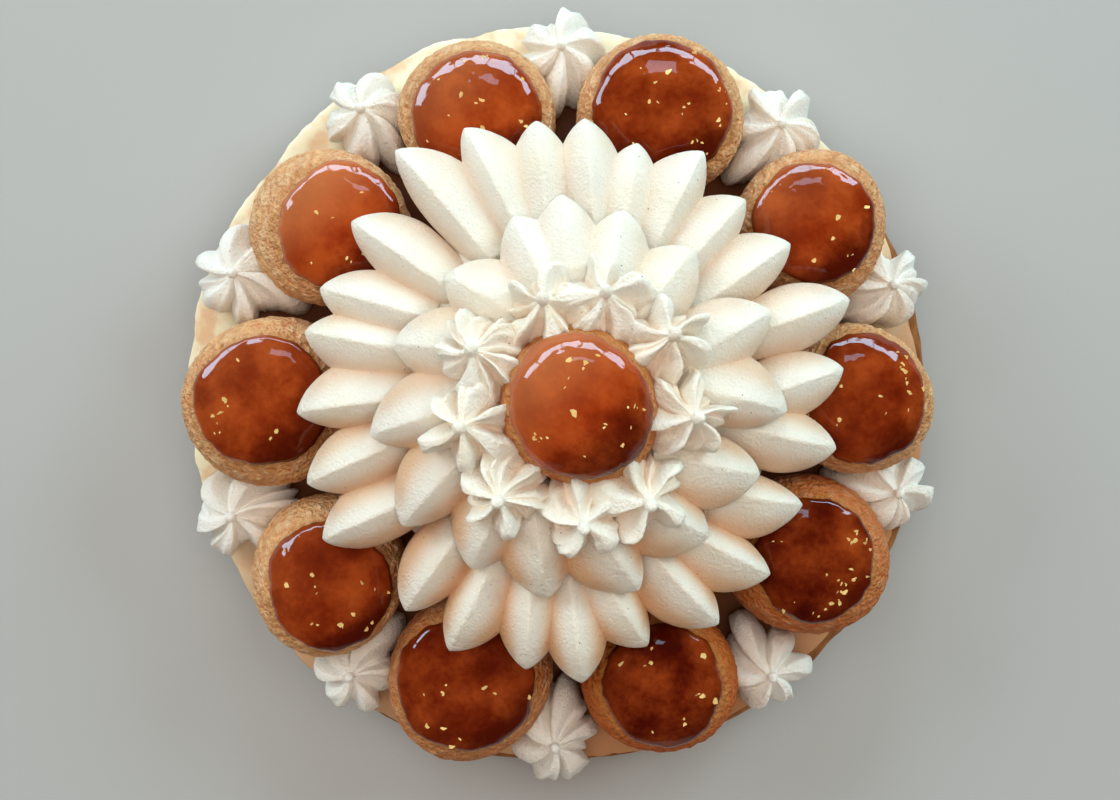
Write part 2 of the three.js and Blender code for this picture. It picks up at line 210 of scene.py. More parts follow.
# Reliefs of the discs, in metres: size and height of the noise, then how far it is sunk or, for the leaves,
# the levels between which they start
LEAF_RELIEF = (0.0012, 0.0022)
LEAF_START = (0.0004, 0.0015)
SPREAD_RELIEF = (0.011, 0.0045, 0.0006)
CRUMB_RELIEF = (0.01, 0.002, 0.0005)

# Spread cream, in metres: radii inside which painted shade darkens it under and between the choux, and
# where painted shade lies to the right and at the front
BED_SHADE_RING = (0.097, 0.088)
BED_SHADE_RIGHT = (0.05, 0.12)
BED_SHADE_FRONT = (0.035, 0.085)

# How the lumps of the crust are drawn out of shape: sizes and reach of the noise, in metres
CRUST_WARP_SIZES = (0.004, 0.0033, 0.0037)
CRUST_WARP = 0.002

# Share of the cells in the cream that hold a vanilla speck, and the draw of the gold flecks
VANILLA_SHARE = 0.16
FLECK_SEED = 7

# What sets the noise of one place apart from that of the next
PLACE_NOISE = 300
OTHER_NOISE = (0, 0, 0.01)

# How far the rows of a skin that goes over and under gather at its rim
RIM_GATHERING = 1.6

# Petals: how far their rows gather at the tip and their columns at the ridge, how much they narrow to the
# root, and the share of the rows after which they are closed
TIP_GATHERING = 1.25
RIDGE_GATHERING = 1.5
ROOT_NARROWING = 0.4
CLOSING_SHARE = 0.999

# Rosettes: shares of the rows where the bead and the body end, how far round bead and body are, and the
# power that keeps the tail narrow
BEAD_SHARE = 0.16
BODY_SHARE = 0.94
BEAD_TURN = 0.78 * math.pi
BODY_TURN = 0.56 * math.pi
TAIL_NARROWNESS = 10

# Colour sockets of a mix node, going in and coming out
MIX_FIRST = 6
MIX_SECOND = 7
MIX_RESULT = 2

# Lights: bearing, elevation, distance and sides in metres, share of the power set for its kind, and tint
SKY = (0.55, 0.78, 1.0)
PANES = [(bearing, 15, 1.3, (0.5, 0.25), 1, SKY) for bearing in (-56, -32, -8, 16, 40)]
GLINTS = [(4, 46, 1.3, (0.46, 0.26), 1, SKY)]
WINDOWS = [
    (-57, 27, 2.4, (1.28, 1.12), 0.8, (0.8, 0.94, 0.96)),
    (-3, 26, 2.4, (1.28, 1.12), 0.56, (0.62, 0.83, 0.92)),
    (53, 27, 2.4, (1.28, 1.12), 0.94, (0.67, 0.92, 0.96)),
]
OVERHEADS = [(0, 89, 1.2, (1.5, 1.5), 1, (1.0, 0.87, 0.75))]

# Camera's place over the cake and the width of its sensor, and the floor's reach and depth
CAMERA_PLACE = (-0.3, -0.9)
SENSOR_WIDTH = 36
FLOOR_REACH = 3000
FLOOR_DEPTH = 0.3


def shade(red, green, blue):
    """Screen colour of 0 to 255 as the linear colour that a shader takes."""

    def linear(part):
        part /= 255
        return part / 12.92 if part <= 0.04045 else ((part + 0.055) / 1.055) ** 2.4

    return linear(red), linear(green), linear(blue), 1.0


def length(name, description, millimetres):
    """Property for a length."""
    return FloatProperty(
        name=name,
        description=description,
        default=millimetres * MM,
        min=0,
        subtype="DISTANCE",
        unit="LENGTH",
        precision=4,
    )


def share(name, description, default):
    """Property for a plain number."""
    return FloatProperty(name=name, description=description, default=default, precision=3)


def turned(name, description, degrees):
    """Property for an angle."""
    return FloatProperty(
        name=name,
        description=description,
        default=math.radians(degrees),
        subtype="ANGLE",
        unit="ROTATION",
    )


def power(name, description, watts):
    """Property for the power of a light."""
    return FloatProperty(name=name, description=description, default=watts, unit="POWER")


def count(name, description, default):
    """Property for a number of faces."""
    return IntProperty(name=name, description=description, default=default, min=3)


def colour(name, description, red, green, blue):
    """Property for a colour, given as it is on the screen."""
    return FloatVectorProperty(
        name=name,
        description=description,
        default=shade(red, green, blue),
        size=4,
        min=0,
        max=1,
        subtype="COLOR",
    )


class CakeBase(PropertyGroup):
    """Pastry disc, the cream spread on it and the core of pastry inside the ring."""

    columns: count("Columns", "Faces round a disc", 360)
    rows: count("Rows", "Faces from top to foot of a disc", 48)
    pastry_radius: length("Pastry Radius", "Radius of the pastry disc", 109.5)
    pastry_foot: length("Pastry Foot", "Level of the underside of the pastry disc", 0)
    pastry_top: length("Pastry Top", "Level of the top of the pastry disc", 9)
    bed_radius: length("Bed Radius", "Radius of the spread cream", 108.8)
    bed_foot: length("Bed Foot", "Level of the underside of the spread cream", 9.3)
    bed_top: length("Bed Top", "Level of the top of the spread cream", 16)
    core_radius: length("Core Radius", "Radius of the core inside the ring", 56)
    core_foot: length("Core Foot", "Level of the underside of the core", 16)
    core_top: length("Core Top", "Level of the top of the core", 43.5)
    pastry_colour: colour("Pastry", "Baked pastry", 176, 116, 64)
    pastry_dark: colour("Pastry Dark", "Browned edges of the pastry leaves", 120, 68, 32)
    bed_colour: colour("Spread Cream", "Cream spread on the pastry", 253, 240, 210)
    bed_warm: colour("Spread Cream Warm", "Thinner places of the spread cream", 240, 204, 164)
    # Painted shade colour of the spread cream
    bed_stained: colour("Spread Cream Stained", "Cream stained by the crust", 204, 150, 108)


class CakeChoux(PropertyGroup):
    """Choux with their crackled sugar crust."""

    columns: count("Columns", "Faces round a choux", 180)
    rows: count("Rows", "Faces from crown to foot", 94)
    height: length("Height", "Height of a choux", 30)
    girth_level: length("Girth Level", "Level of the widest place above the foot", 13)
    unevenness: share("Unevenness", "Share that the girth wavers", 0.025)
    gathering: share("Gathering", "How far the rows gather round the girth", 0.5)
    furrow_size: length("Furrow Size", "Size of the furrows in the crust", 5.0)
    furrow_depth: length("Furrow Depth", "Depth of the furrows", 0.35)
    furrow_crispness: share("Furrow Crispness", "How narrow the furrows are", 8)
    lump_size: length("Lump Size", "Size of the small lumps", 2.2)
    lump_height: length("Lump Height", "Height of the small lumps", 1.2)
    crust_colour: colour("Crust", "Plates of the crust", 247, 194, 136)
    crust_pale: colour("Crust Pale", "Pale sugar grains on the crust", 245, 211, 167)
    # Dark grains and crack bottoms, also used as painted shade in the hollows
    crust_dark: colour("Crust Dark", "Bottoms of the cracks", 204, 112, 52)
    # Baked colour of the crust, also used as painted shade
    crust_baked: colour("Crust Baked", "Crust that has baked brown", 190, 90, 34)
    glaze_colour: colour("Glazed Crust", "Crust stained by caramel", 202, 134, 66)


class CakeCaramel(PropertyGroup):
    """Caramel on the choux, and the gold on it."""

    columns: count("Columns", "Faces round a shell", 120)
    rows: count("Rows", "Faces over and under a shell", 70)
    clearance: length("Clearance", "Gap between crust and caramel", 0.3)
    thickness: length("Thickness", "Thickness at the middle", 1.4)
    shoulder: length("Shoulder", "Thickness towards the edge", 1.4)
    dome: share("Dome", "Power of the dome's fall, flatter in the middle when larger", 3.3)
    lip: length("Lip", "Width of the rounded edge", 0.9)
    unevenness: share("Unevenness", "Share that the outline wavers", 0.03)
    drift: share("Drift", "Share that the outline wanders", 0.2)
    ripple: length("Ripple", "Height of the slow waves in the surface", 0.3)
    ripple_size: length("Ripple Size", "Size of the slow waves", 5.5)
    # Painted shade: direction of the darker side of each shell
    pooling: turned("Pooling", "Direction, from +X, in which the caramel has pooled", -50)
    fleck_radius: length("Fleck Radius", "Radius of a large fleck", 1)
    fleck_depth: length("Fleck Depth", "Thickness of a large fleck", 0.4)
    fleck_density: share("Fleck Density", "Flecks on a square metre between the clusters", 4000)
    cluster_density: share("Cluster Density", "Flecks more on a square metre of a cluster", 200000)
    fleck_tear: length("Fleck Tear", "How far a fleck is torn out of shape", 1.6)
    amber: colour("Amber", "Caramel where it is thin", 194, 86, 33)
    # Painted light colour on the paler side of each shell
    tan: colour("Tan", "Caramel that lets the crust show through", 204, 126, 78)
    brown: colour("Brown", "Caramel over most of a shell", 162, 54, 15)
    # Caramel's own dark tone, also used as painted shade
    dark: colour("Dark", "Caramel where it has pooled", 74, 11, 1)
    gold: colour("Gold", "Gold flecks", 252, 192, 84)
    # Painted glint colour of the gold
    gold_light: colour("Gold Light", "Creases of the gold flecks", 255, 234, 168)


class CakePetals(PropertyGroup):
    """Petals of piped cream and the heart that they grow from."""

    outer_rows: count("Outer Rows", "Faces along an outer petal", 72)
    inner_rows: count("Inner Rows", "Faces along an inner petal", 92)
    columns: count("Columns", "Faces round a petal", 52)
    top_columns: count("Top Columns", "Faces round a petal that lie on its top", 44)
    outer_half_width: length("Outer Half Width", "Half the width of an outer petal", 9.1)
    inner_half_width: length("Inner Half Width", "Half the width of an inner petal", 10.1)
    height: length("Height", "Height of the ridge over the tip", 9.6)
    tip_depth: length("Tip Depth", "Depth of cream under the tip", 0.8)
    root_depth: length("Root Depth", "Depth of cream under the root", 6)
    swell: share("Swell", "Where along its length a petal is widest", 0.5)
    tip_curve: share("Tip Curve", "Power of the outline at the tip, blunter when smaller", 0.76)
    nose: length("Nose", "Length of the rounded nose before the ridge grows crisp", 4)
    flank_curve: share("Flank Curve", "Power of the flanks, fuller when smaller", 0.52)
    heart_columns: count("Heart Columns", "Faces round the heart", 160)
    heart_rows: count("Heart Rows", "Faces over and under the heart", 120)
    heart_radius: length("Heart Radius", "Radius of the heart", 56)
    heart_foot: length("Heart Foot", "Level of the underside of the heart", 43.8)
    heart_height: length("Heart Height", "Height of the heart", 14)
    seat_depth: length("Seat Depth", "Depth of the seat for the choux on top", 5.2)
    collar: length("Collar", "Height of the cream heaped round the seat", 7)
    grain: length("Grain", "Height of the fine grain of the cream", 0.28)
    lump: length("Lump", "Height of the slow lumps of the cream", 0.5)
    # Painted shade: how strongly the folds of the petals are tinted, and how much more on the petals
    # towards -Y
    warmth: share("Warmth", "How warm the folds of the petals are", 0.62)
    warmth_swing: share("Warmth Swing", "How much warmer they are towards -Y", 0.36)
    cream: colour("Cream", "Whipped cream", 253, 249, 239)
    cream_warm: colour("Cream Warm", "Slow drifts in the cream", 252, 244, 225)
    # Painted shade colour deep in the folds
    cream_fold: colour("Cream Fold", "Cream deep in the folds", 233, 184, 140)
    vanilla: colour("Vanilla", "Vanilla specks", 84, 62, 44)


class CakeRosettes(PropertyGroup):
    """Rosettes in the ring's gaps."""

    columns: count("Columns", "Faces round a rosette", 168)
    rows: count("Rows", "Faces from peak to foot", 56)
    height: length("Height", "Height of a rosette", 18)
    bead: length("Bead", "Radius of the bead at the peak", 1.5)
    depth: share("Pleat Depth", "Depth of the valleys in the outline as a share of the radius", 0.3)
    plateau: share("Plateau", "How broad the flat tops of the fins are", 0.5)
    crispness: share("Crispness", "Power of the fins, thinner when larger", 1.1)
    broadening: share("Broadening", "How much the fins broaden to the foot", 0.3)
    sink: length("Sink", "Depth of the valleys from above", 3.4)
    valley: share("Valley", "Where between two fins the valley lies", 0.22)
    twist: turned("Twist", "Turn of the fins from peak to foot", 26)
    lean: length("Lean", "How far the peak leans outwards", 2)
    tail: share("Tail", "How much further the inner pleat reaches", 0.45)
    bluntness: share("Bluntness", "How far out the fins keep their height", 2.5)
    ragged: length("Ragged", "How torn the fins are", 0.3)
    # Painted shade: how strongly the valleys between the fins are tinted
    stain: share("Stain", "How warm the cream is deep between the fins", 0.1)
    jitter: share("Jitter", "How unevenly the fins are spaced", 1.0)
    sway: share("Sway", "How much the fins sway", 1.0)
    drift: share("Drift", "How unequal the fins are in length", 0.55)
    lump: length("Lump", "Height of the slow lumps", 0.5)
    grain: length("Grain", "Height of the fine grain", 0.12)
    cream: colour("Cream", "Cream of the rosettes", 254, 253, 248)
    cream_warm: colour("Cream Warm", "Slow drifts in the cream", 254, 250, 240)
    # Painted shade colour deep between the fins
    cream_fold: colour("Cream Fold", "Cream deep in the folds", 249, 245, 240)
    vanilla: colour("Vanilla", "Vanilla specks", 84, 62, 44)


class CakeWreath(PropertyGroup):
    """Small rosettes round the choux on top."""

    columns: count("Columns", "Faces round a rosette", 168)
    rows: count("Rows", "Faces from peak to foot", 60)
    height: length("Height", "Height of a rosette", 14)
    bead: length("Bead", "Radius of the bead at the peak", 1.7)
    depth: share("Pleat Depth", "Depth of the valleys in the outline as a share of the radius", 0.4)
    plateau: share("Plateau", "How broad the flat tops of the fins are", 0.2)
    crispness: share("Crispness", "Power of the fins, thinner when larger", 1.1)
    broadening: share("Broadening", "How much the fins broaden to the foot", 0.2)
    sink: length("Sink", "Depth of the valleys from above", 4.8)
    valley: share("Valley", "Where between two fins the valley lies", 0.4)
    twist: turned("Twist", "Turn of the fins from peak to foot", 16)
    lean: length("Lean", "How far the peak leans outwards", 5.6)
    tail: share("Tail", "How much further the inner pleat reaches", 0.0)
    bluntness: share("Bluntness", "How far out the fins keep their height", 3.2)
    ragged: length("Ragged", "How torn the fins are", 0.7)
    # Painted shade: how strongly the valleys between the fins are tinted
    stain: share("Stain", "How warm the cream is deep between the fins", 0.4)
    jitter: share("Jitter", "How unevenly the fins are spaced", 1.1)
    sway: share("Sway", "How much the fins sway", 1.8)
    drift: share("Drift", "How unequal the fins are in length", 0.6)
    lump: length("Lump", "Height of the slow lumps", 0.4)
    grain: length("Grain", "Height of the fine grain", 0.14)


class CakeStage(PropertyGroup):
    """Floor, light and camera."""

    floor_colour: colour("Floor", "Plain floor", 183, 184, 184)
    room_colour: colour("Room", "Light that the room gives from all sides", 226, 208, 196)
    room_light: share("Room Light", "Strength of the room's light", 0.06)
    window_light: power("Window", "Full power of a window", 36)
    fill_light: power("Fill", "Power of the light overhead", 11.6)
    pane_light: power("Panes", "Power of each pane seen in the caramel", 5.6)
    glint_light: power("Glint", "Power of the small glint seen in the caramel", 1.8)
    camera_height: length("Camera Height", "Height of the camera over the floor", 430)
    lens: FloatProperty(name="Lens", description="Focal length in millimetres", default=45.2)


class Term:
    """A value inside a node tree, written into formulas like a plain number."""

    def __init__(self, socket):
        self.socket = socket
        self.tree = socket.id_data

    def __add__(self, other):
        return worked("ADD", self, other)

    __radd__ = __add__

    def __mul__(self, other):
        return worked("MULTIPLY", self, other)

    __rmul__ = __mul__

    def __sub__(self, other):
        return worked("SUBTRACT", self, other)

    def __rsub__(self, other):
        return worked("SUBTRACT", other, self)

    def __truediv__(self, other):
        return worked("DIVIDE", self, other)

    def __rtruediv__(self, other):
        return worked("DIVIDE", other, self)

    def __pow__(self, other):
        return worked("POWER", self, other)

    def __neg__(self):
        return self * -1


def give(value, socket):
    """Links a term into a socket, or sets the socket to a plain value."""
    if isinstance(value, Term):
        value.tree.links.new(value.socket, socket)
    else:
        socket.default_value = value


def node_over(kind, *values):
    """A node whose first inputs are fed by values, of which at least one is a term."""
    tree = next(value.tree for value in values if isinstance(value, Term))
    node = tree.nodes.new(kind)
    for value, socket in zip(values, node.inputs):
        give(value, socket)
    return node


def node_in(tree, kind, **inputs):
    """A node with its inputs fed by name, a space in a name written as an underscore."""
    node = tree.nodes.new(kind)
    for name, value in inputs.items():
        give(value, node.inputs[name.replace("_", " ")])
    return node


def worked(operation, *values):
    """One step of arithmetic."""
    node = node_over("ShaderNodeMath", *values)
    node.operation = operation
    return Term(node.outputs[0])


sine = partial(worked, "SINE")
cosine = partial(worked, "COSINE")
size_of = partial(worked, "ABSOLUTE")
sign_of = partial(worked, "SIGN")
fraction_of = partial(worked, "FRACT")
least = partial(worked, "MINIMUM")
most = partial(worked, "MAXIMUM")
above = partial(worked, "GREATER_THAN")


def within(value, low, high):
    """Share of the way from low to high, straight and held at both ends."""
    return least(most((value - low) / (high - low), 0), 1)


def eased(value, low, high):
    """Share of the way from low to high, smooth and held at both ends."""
    node = node_in(value.tree, "ShaderNodeMapRange", Value=value, From_Min=low, From_Max=high)
    node.interpolation_type = "SMOOTHSTEP"
    return Term(node.outputs["Result"])


def place_of(x, y, z):
    """Place that three parts make."""
    return Term(node_over("ShaderNodeCombineXYZ", x, y, z).outputs[0])


def parts_of(place):
    """Three parts of a place."""
    return [Term(socket) for socket in node_over("ShaderNodeSeparateXYZ", place).outputs]


def moved(place, offset):
    """Place with an offset added to it."""
    return Term(node_over("ShaderNodeVectorMath", place, offset).outputs[0])


def stretched(place, amount):
    """Place multiplied by a number."""
    node = node_over("ShaderNodeVectorMath", place)
    node.operation = "SCALE"
    give(amount, node.inputs["Scale"])
    return Term(node.outputs[0])


def cloudy(place, size, detail=2.0, roughness=0.5):
    """Soft noise within about half a unit of 0, its lumps of that size in the place's own unit."""
    node = node_in(place.tree, "ShaderNodeTexNoise", Vector=place, Scale=1 / size)
    give(detail, node.inputs["Detail"])
    give(roughness, node.inputs["Roughness"])
    return Term(node.outputs[0]) - 0.5


def cells(place, size):
    """Cells of about that size, each round a point of its own."""
    return node_in(place.tree, "ShaderNodeTexVoronoi", Vector=place, Scale=1 / size).outputs


class Sizes:
    """Named inputs of a tree, taken from the numbers of a property group."""

    def __init__(self, tree, given, group):
        self.values = {}
        self.terms = {}
        for prop in group.bl_rna.properties:
            if prop.type not in {"FLOAT", "INT"} or prop.is_array:
                continue
            kind = "NodeSocketInt" if prop.type == "INT" else "NodeSocketFloat"
            socket = tree.interface.new_socket(prop.name, in_out="INPUT", socket_type=kind)
            self.values[socket.identifier] = getattr(group, prop.identifier)
            self.terms[prop.identifier] = prop.name
        self.given = given

    def __getattr__(self, name):
        return Term(self.given.outputs[self.terms[name]])


class Tree:
    """A Geometry Nodes tree with its sizes as named inputs, from its first geometry to its last."""

    def __init__(self, name, group):
        self.tree = bpy.data.node_groups.new(name, "GeometryNodeTree")
        sockets = self.tree.interface
        sockets.new_socket("Places", in_out="INPUT", socket_type="NodeSocketGeometry")
        self.finish = sockets.new_socket("Finish", in_out="INPUT", socket_type="NodeSocketMaterial")
        sockets.new_socket("Mesh", in_out="OUTPUT", socket_type="NodeSocketGeometry")
        self.given = self.tree.nodes.new("NodeGroupInput")
        self.size = Sizes(self.tree, self.given, group)
        self.mesh = Term(self.given.outputs["Places"])
        self.noted = []

    def then(self, kind, output, **inputs):
        """Passes the geometry on through one more node."""
        node = node_in(self.tree, kind, **inputs)
        give(self.mesh, node.inputs[0])
        self.mesh = Term(node.outputs[output])
        return node

    def here(self):
        """Where each point is."""
        return Term(self.tree.nodes.new("GeometryNodeInputPosition").outputs[0])

    def outward(self):
        """Which way the surface looks."""
        return Term(self.tree.nodes.new("GeometryNodeInputNormal").outputs["Normal"])

    def read(self, name):
        """A number that each place carries."""
        node = self.tree.nodes.new("GeometryNodeInputNamedAttribute")
        node.data_type = "FLOAT"
        node.inputs["Name"].default_value = name
        return Term(node.outputs["Attribute"])

    def apart(self):
        """A number of each place that sets its noise apart from that of the others."""
        return self.read("place_x") * PLACE_NOISE

    def keep(self, name, value):
        """Stores a number on every point for the material."""
        node = self.then("GeometryNodeStoreNamedAttribute", "Geometry", Name=name)
        give(value, node.inputs["Value"])

    def note(self, name, value):
        """Stores a number for use after the points have moved, until the piece is done."""
        self.keep(name, value)
        self.noted.append(name)
        return self.read(name)

    def swell(self, amount):
        """Moves the surface along its own normal."""
        self.then("GeometryNodeSetPosition", "Geometry", Offset=stretched(self.outward(), amount))

    def lay_skins(self, columns, rows):
        """Lays a grid on each place, and gives the shares round and along it."""
        grid = node_in(self.tree, "GeometryNodeMeshGrid", Size_X=1.0, Size_Y=1.0)
        give(columns + 1, grid.inputs["Vertices X"])
        give(rows + 1, grid.inputs["Vertices Y"])
        self.then("GeometryNodeInstanceOnPoints", "Instances", Instance=Term(grid.outputs["Mesh"]))
        self.then("GeometryNodeRealizeInstances", "Geometry")
        across, along, _ = parts_of(self.here())
        return 0.5 - across, along + 0.5

    def close_skins(self, x, y, level):
        """Stands every skin on its own place and turn, and welds its seam and poles."""
        facing = self.read("facing")
        place = place_of(
            x * cosine(facing) - y * sine(facing) + self.read("place_x"),
            x * sine(facing) + y * cosine(facing) + self.read("place_y"),
            level + self.read("level"),
        )
        self.then("GeometryNodeSetPosition", "Geometry", Position=place)
        self.then("GeometryNodeMergeByDistance", "Geometry", Distance=WELD)

    def end(self, smooth=True):
        """Shades the skins, gives them their finish and ends the tree."""
        self.then("GeometryNodeSetShadeSmooth", "Geometry", Shade_Smooth=smooth)
        self.then("GeometryNodeSetMaterial", "Geometry", Material=Term(self.given.outputs["Finish"]))
        out = self.tree.nodes.new("NodeGroupOutput")
        give(self.mesh, out.inputs["Mesh"])
        return self


def spoke(bearing, reach, middle=(0, 0)):
    """Place at a bearing and a distance from a middle."""
    angle = math.radians(bearing)
    return math.sin(angle) * reach + middle[0], math.cos(angle) * reach + middle[1]


def standing(x, y, level=0, bearing=EAST, **numbers):
    """One place for a skin: millimetres and a bearing, with the numbers that its shape reads."""
    return {
        "place_x": x * MM,
        "place_y": y * MM,
        "level": level * MM,
        "facing": math.radians(EAST - bearing),
        **numbers,
    }


def start_piece(name, places):
    """Object of bare points, each carrying the numbers of one place."""
    mesh = bpy.data.meshes.new(name)
    mesh.from_pydata([(0, 0, 0)] * len(places), [], [])
    for number in places[0]:
        attribute = mesh.attributes.new(number, "FLOAT", "POINT")
        attribute.data.foreach_set("value", [place[number] for place in places])
    piece = bpy.data.objects.new(name, mesh)
    bpy.context.scene.collection.objects.link(piece)
    return piece


def shape_piece(piece, tree, finish, drop=()):
    """Runs a tree on a piece, leaves its result as plain mesh and drops numbers no longer needed."""
    modifier = piece.modifiers.new(tree.tree.name, "NODES")
    modifier.node_group = tree.tree
    for identifier, value in tree.size.values.items():
        modifier[identifier] = value
    modifier[tree.finish.identifier] = finish
    graph = bpy.context.evaluated_depsgraph_get()
    made = bpy.data.meshes.new_from_object(piece.evaluated_get(graph))
    if not made.polygons:
        raise RuntimeError(f"{piece.name} came out empty")
    piece.modifiers.remove(modifier)
    old = piece.data
    piece.data = made
    bpy.data.meshes.remove(old)
    made.name = piece.name
    for number in drop:
        made.attributes.remove(made.attributes[number])
    return piece


def hand_over(piece, slot, *nodes):
    """Ties a finished piece to the frame."""
    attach(piece, BODY)
    if nodes:
        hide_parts(*nodes)


def skins(name, places, tree, finish):
    """Piece with one skin on each place."""
    return shape_piece(start_piece(name, places), tree, finish, (*places[0], *tree.noted))


def numbered(name, amount, first=1):
    """Names of so many nodes that are counted up."""
    return [f"{name}_{index:02d}" for index in range(first, first + amount)]


def uneven_draws(seed):
    """Repeatable draws between -pi and pi."""
    state = seed
    while True:
        state = (state * DRAW_FACTOR + DRAW_STEP) % DRAW_RANGE
        yield (state / DRAW_RANGE * 2 - 1) * math.pi


def uneven_phases():
    """Phases of the wavy edges, in the order in which the solids draw them."""
    draws = uneven_draws(UNEVEN_SEED)
    pastry, bed = [[next(draws) for _ in edge[-1]] for edge in (PASTRY_EDGE, BED_EDGE)]
    waves = (*GIRTH_WAVES, *OUTLINE_WAVES)
    choux = [{name: next(draws) for name in waves} for _ in (*CHOUX_RING, CENTRE_CHOUX)]
    return pastry, bed, choux


PASTRY_PHASES, BED_PHASES, CHOUX_PHASES = uneven_phases()


def wavering(angle, strength, waves, phases):
    """Wavy share of a radius round a piece."""
    share_of = 1.0
    for index, (wave, phase) in enumerate(zip(waves, phases)):
        share_of = cosine(angle * wave + phase) * (strength / (index + 1)) + share_of
    return share_of


# Materials

def tinted(amount, first, second):
    """Colour between two colours."""
    node = node_over("ShaderNodeMix", amount)
    node.data_type = "RGBA"
    give(first, node.inputs[MIX_FIRST])
    give(second, node.inputs[MIX_SECOND])
    return Term(node.outputs[MIX_RESULT])


class Finish:
    """A material on Object coordinates whose constants stay on the shader's own sockets."""

    def __init__(self, name, **fixed):
        self.material = bpy.data.materials.new(name)
        self.material.use_nodes = True
        self.tree = self.material.node_tree
        self.shader = self.tree.nodes["Principled BSDF"]
        for socket, value in fixed.items():
            self.shader.inputs[socket.replace("_", " ")].default_value = value
        coordinates = self.tree.nodes.new("ShaderNodeTexCoord")
        self.place = Term(coordinates.outputs["Object"])

    def number(self, name):
        """A number that every point of the piece carries."""
        node = self.tree.nodes.new("ShaderNodeAttribute")
        node.attribute_name = name
        return Term(node.outputs["Fac"])

    def set(self, socket, value):
        """Feeds one socket of the shader."""
        give(value, self.shader.inputs[socket])

    def bump(self, height, distance, strength=1.0):
        """Tilts the surface's shading by a height."""
        node = node_in(self.tree, "ShaderNodeBump", Strength=strength, Distance=distance, Height=height)
        self.set("Normal", Term(node.outputs["Normal"]))


def cream_finish(name, petals):
    """Whipped cream with slow drifts, painted warm shade in the folds and vanilla specks."""
    finish = Finish(
        name,
        Subsurface_Weight=0.4,
        Subsurface_Radius=(1.0, 0.8, 0.62),
        Subsurface_Scale=0.002,
        Specular_IOR_Level=0.3,
        IOR=1.4,
    )
    finish.shader.subsurface_method = "BURLEY"
    slow = cloudy(finish.place, size=0.014) + 0.5
    base = tinted(eased(slow, 0.35, 0.9), petals.cream, petals.cream_warm)
    # Painted shade: the folds are tinted towards a warm shaded colour
    base = tinted(finish.number("fold"), base, petals.cream_fold)
    speck = cells(finish.place, size=0.0026)
    chance = parts_of(Term(speck["Color"]))[0]
    dark = above(chance, 1 - VANILLA_SHARE) * (1 - eased(Term(speck["Distance"]), 0.05, 0.09))
    base = tinted(dark * 0.85, base, petals.vanilla)
    finish.set("Base Color", base)
    fine = cloudy(finish.place, size=0.0008, detail=4, roughness=0.6)
    finish.set("Roughness", fine * 0.25 + 0.5)
    finish.bump(fine, distance=0.0008)
    return finish.material


def choux_finish(choux):
    """Crust with pale sugar grains, brown cracks, painted shade in its hollows and on the choux towards -Y,
    stained round the caramel.
    """
    finish = Finish(
        "Crackled crust", Specular_IOR_Level=0.35, Subsurface_Weight=0.1, Subsurface_Scale=0.001
    )
    crack = finish.number("crack")
    glaze = finish.number("glaze")
    slow = cloudy(finish.place, size=0.005, detail=3) + 0.5
    grains = cloudy(finish.place, size=0.0013, detail=3) + 0.5
    base = tinted(eased(slow, 0.3, 0.75) * 0.6, choux.crust_colour, choux.crust_pale)
    base = tinted(eased(grains, 0.52, 0.66) * 0.7, base, choux.crust_pale)
    base = tinted(eased(grains, 0.46, 0.34) * 0.4, base, choux.crust_dark)
    # Baked colour and painted shade, strongest on the choux towards -Y
    baked = finish.number("baked")
    base = tinted(baked * 0.7, base, choux.crust_baked)
    # Dark crack bottoms, and painted shade in the hollows between lumps, stronger on the browner choux
    base = tinted(least(crack * (baked + 1), 1), base, choux.crust_dark)
    stain = eased(glaze + cloudy(finish.place, size=0.0035, detail=4, roughness=0.65) * 2.2, 0.5, 1.1)
    base = tinted(stain * 0.7, base, choux.glaze_colour)
    finish.set("Base Color", base)
    finish.set("Roughness", 0.75 - stain * 0.4)
    finish.bump(grains, distance=0.0022)
    return finish.material


def caramel_finish(caramel):
    """Clear caramel with painted light on one side and painted shade on the other."""
    finish = Finish(
        "Dipped caramel",
        Roughness=0.045,
        Specular_IOR_Level=0.5,
        IOR=1.45,
        Subsurface_Weight=0.2,
        Subsurface_Radius=(1.0, 0.25, 0.08),
        Subsurface_Scale=0.002,
    )
    slow = cloudy(finish.place, size=0.012, detail=3) + 0.5
    grains = cloudy(finish.place, size=0.0016, detail=4, roughness=0.65) + 0.5
    mottled = slow * 1.4 + grains * 0.4 - 0.2
    side = finish.number("pooled")
    darkness = finish.number("darkness")
    base = tinted(eased(mottled, 0.45, 1.0), caramel.brown, caramel.amber)
    base = tinted(finish.number("thin") * 0.3, base, caramel.amber)
    # Painted light: a paler tan on the side away from the painted shade, less on the darker shells
    bare = most(1 - darkness * 1.8, 0)
    base = tinted(eased(side, 0.2, -0.9) * bare * 0.8, base, caramel.tan)
    # Painted shade: darker towards one side of each shell, and on the darker shells
    pooled = eased(side - mottled * 0.8, -0.6, 0.4) * 0.92
    base = tinted(most(pooled, darkness * (1.9 - mottled * 1.3)), base, caramel.dark)
    finish.set("Base Color", base)
    return finish.material


def gold_finish(caramel):
    """Crumpled gold leaf with painted glints."""
    finish = Finish("Gold leaf", Metallic=0.25)
    crumple = cloudy(finish.place, size=0.0004)
    # Painted glints: patches of pale gold by noise
    finish.set("Base Color", tinted(crumple + 0.5, caramel.gold, caramel.gold_light))
    finish.set("Roughness", crumple * 0.3 + 0.35)
    return finish.material


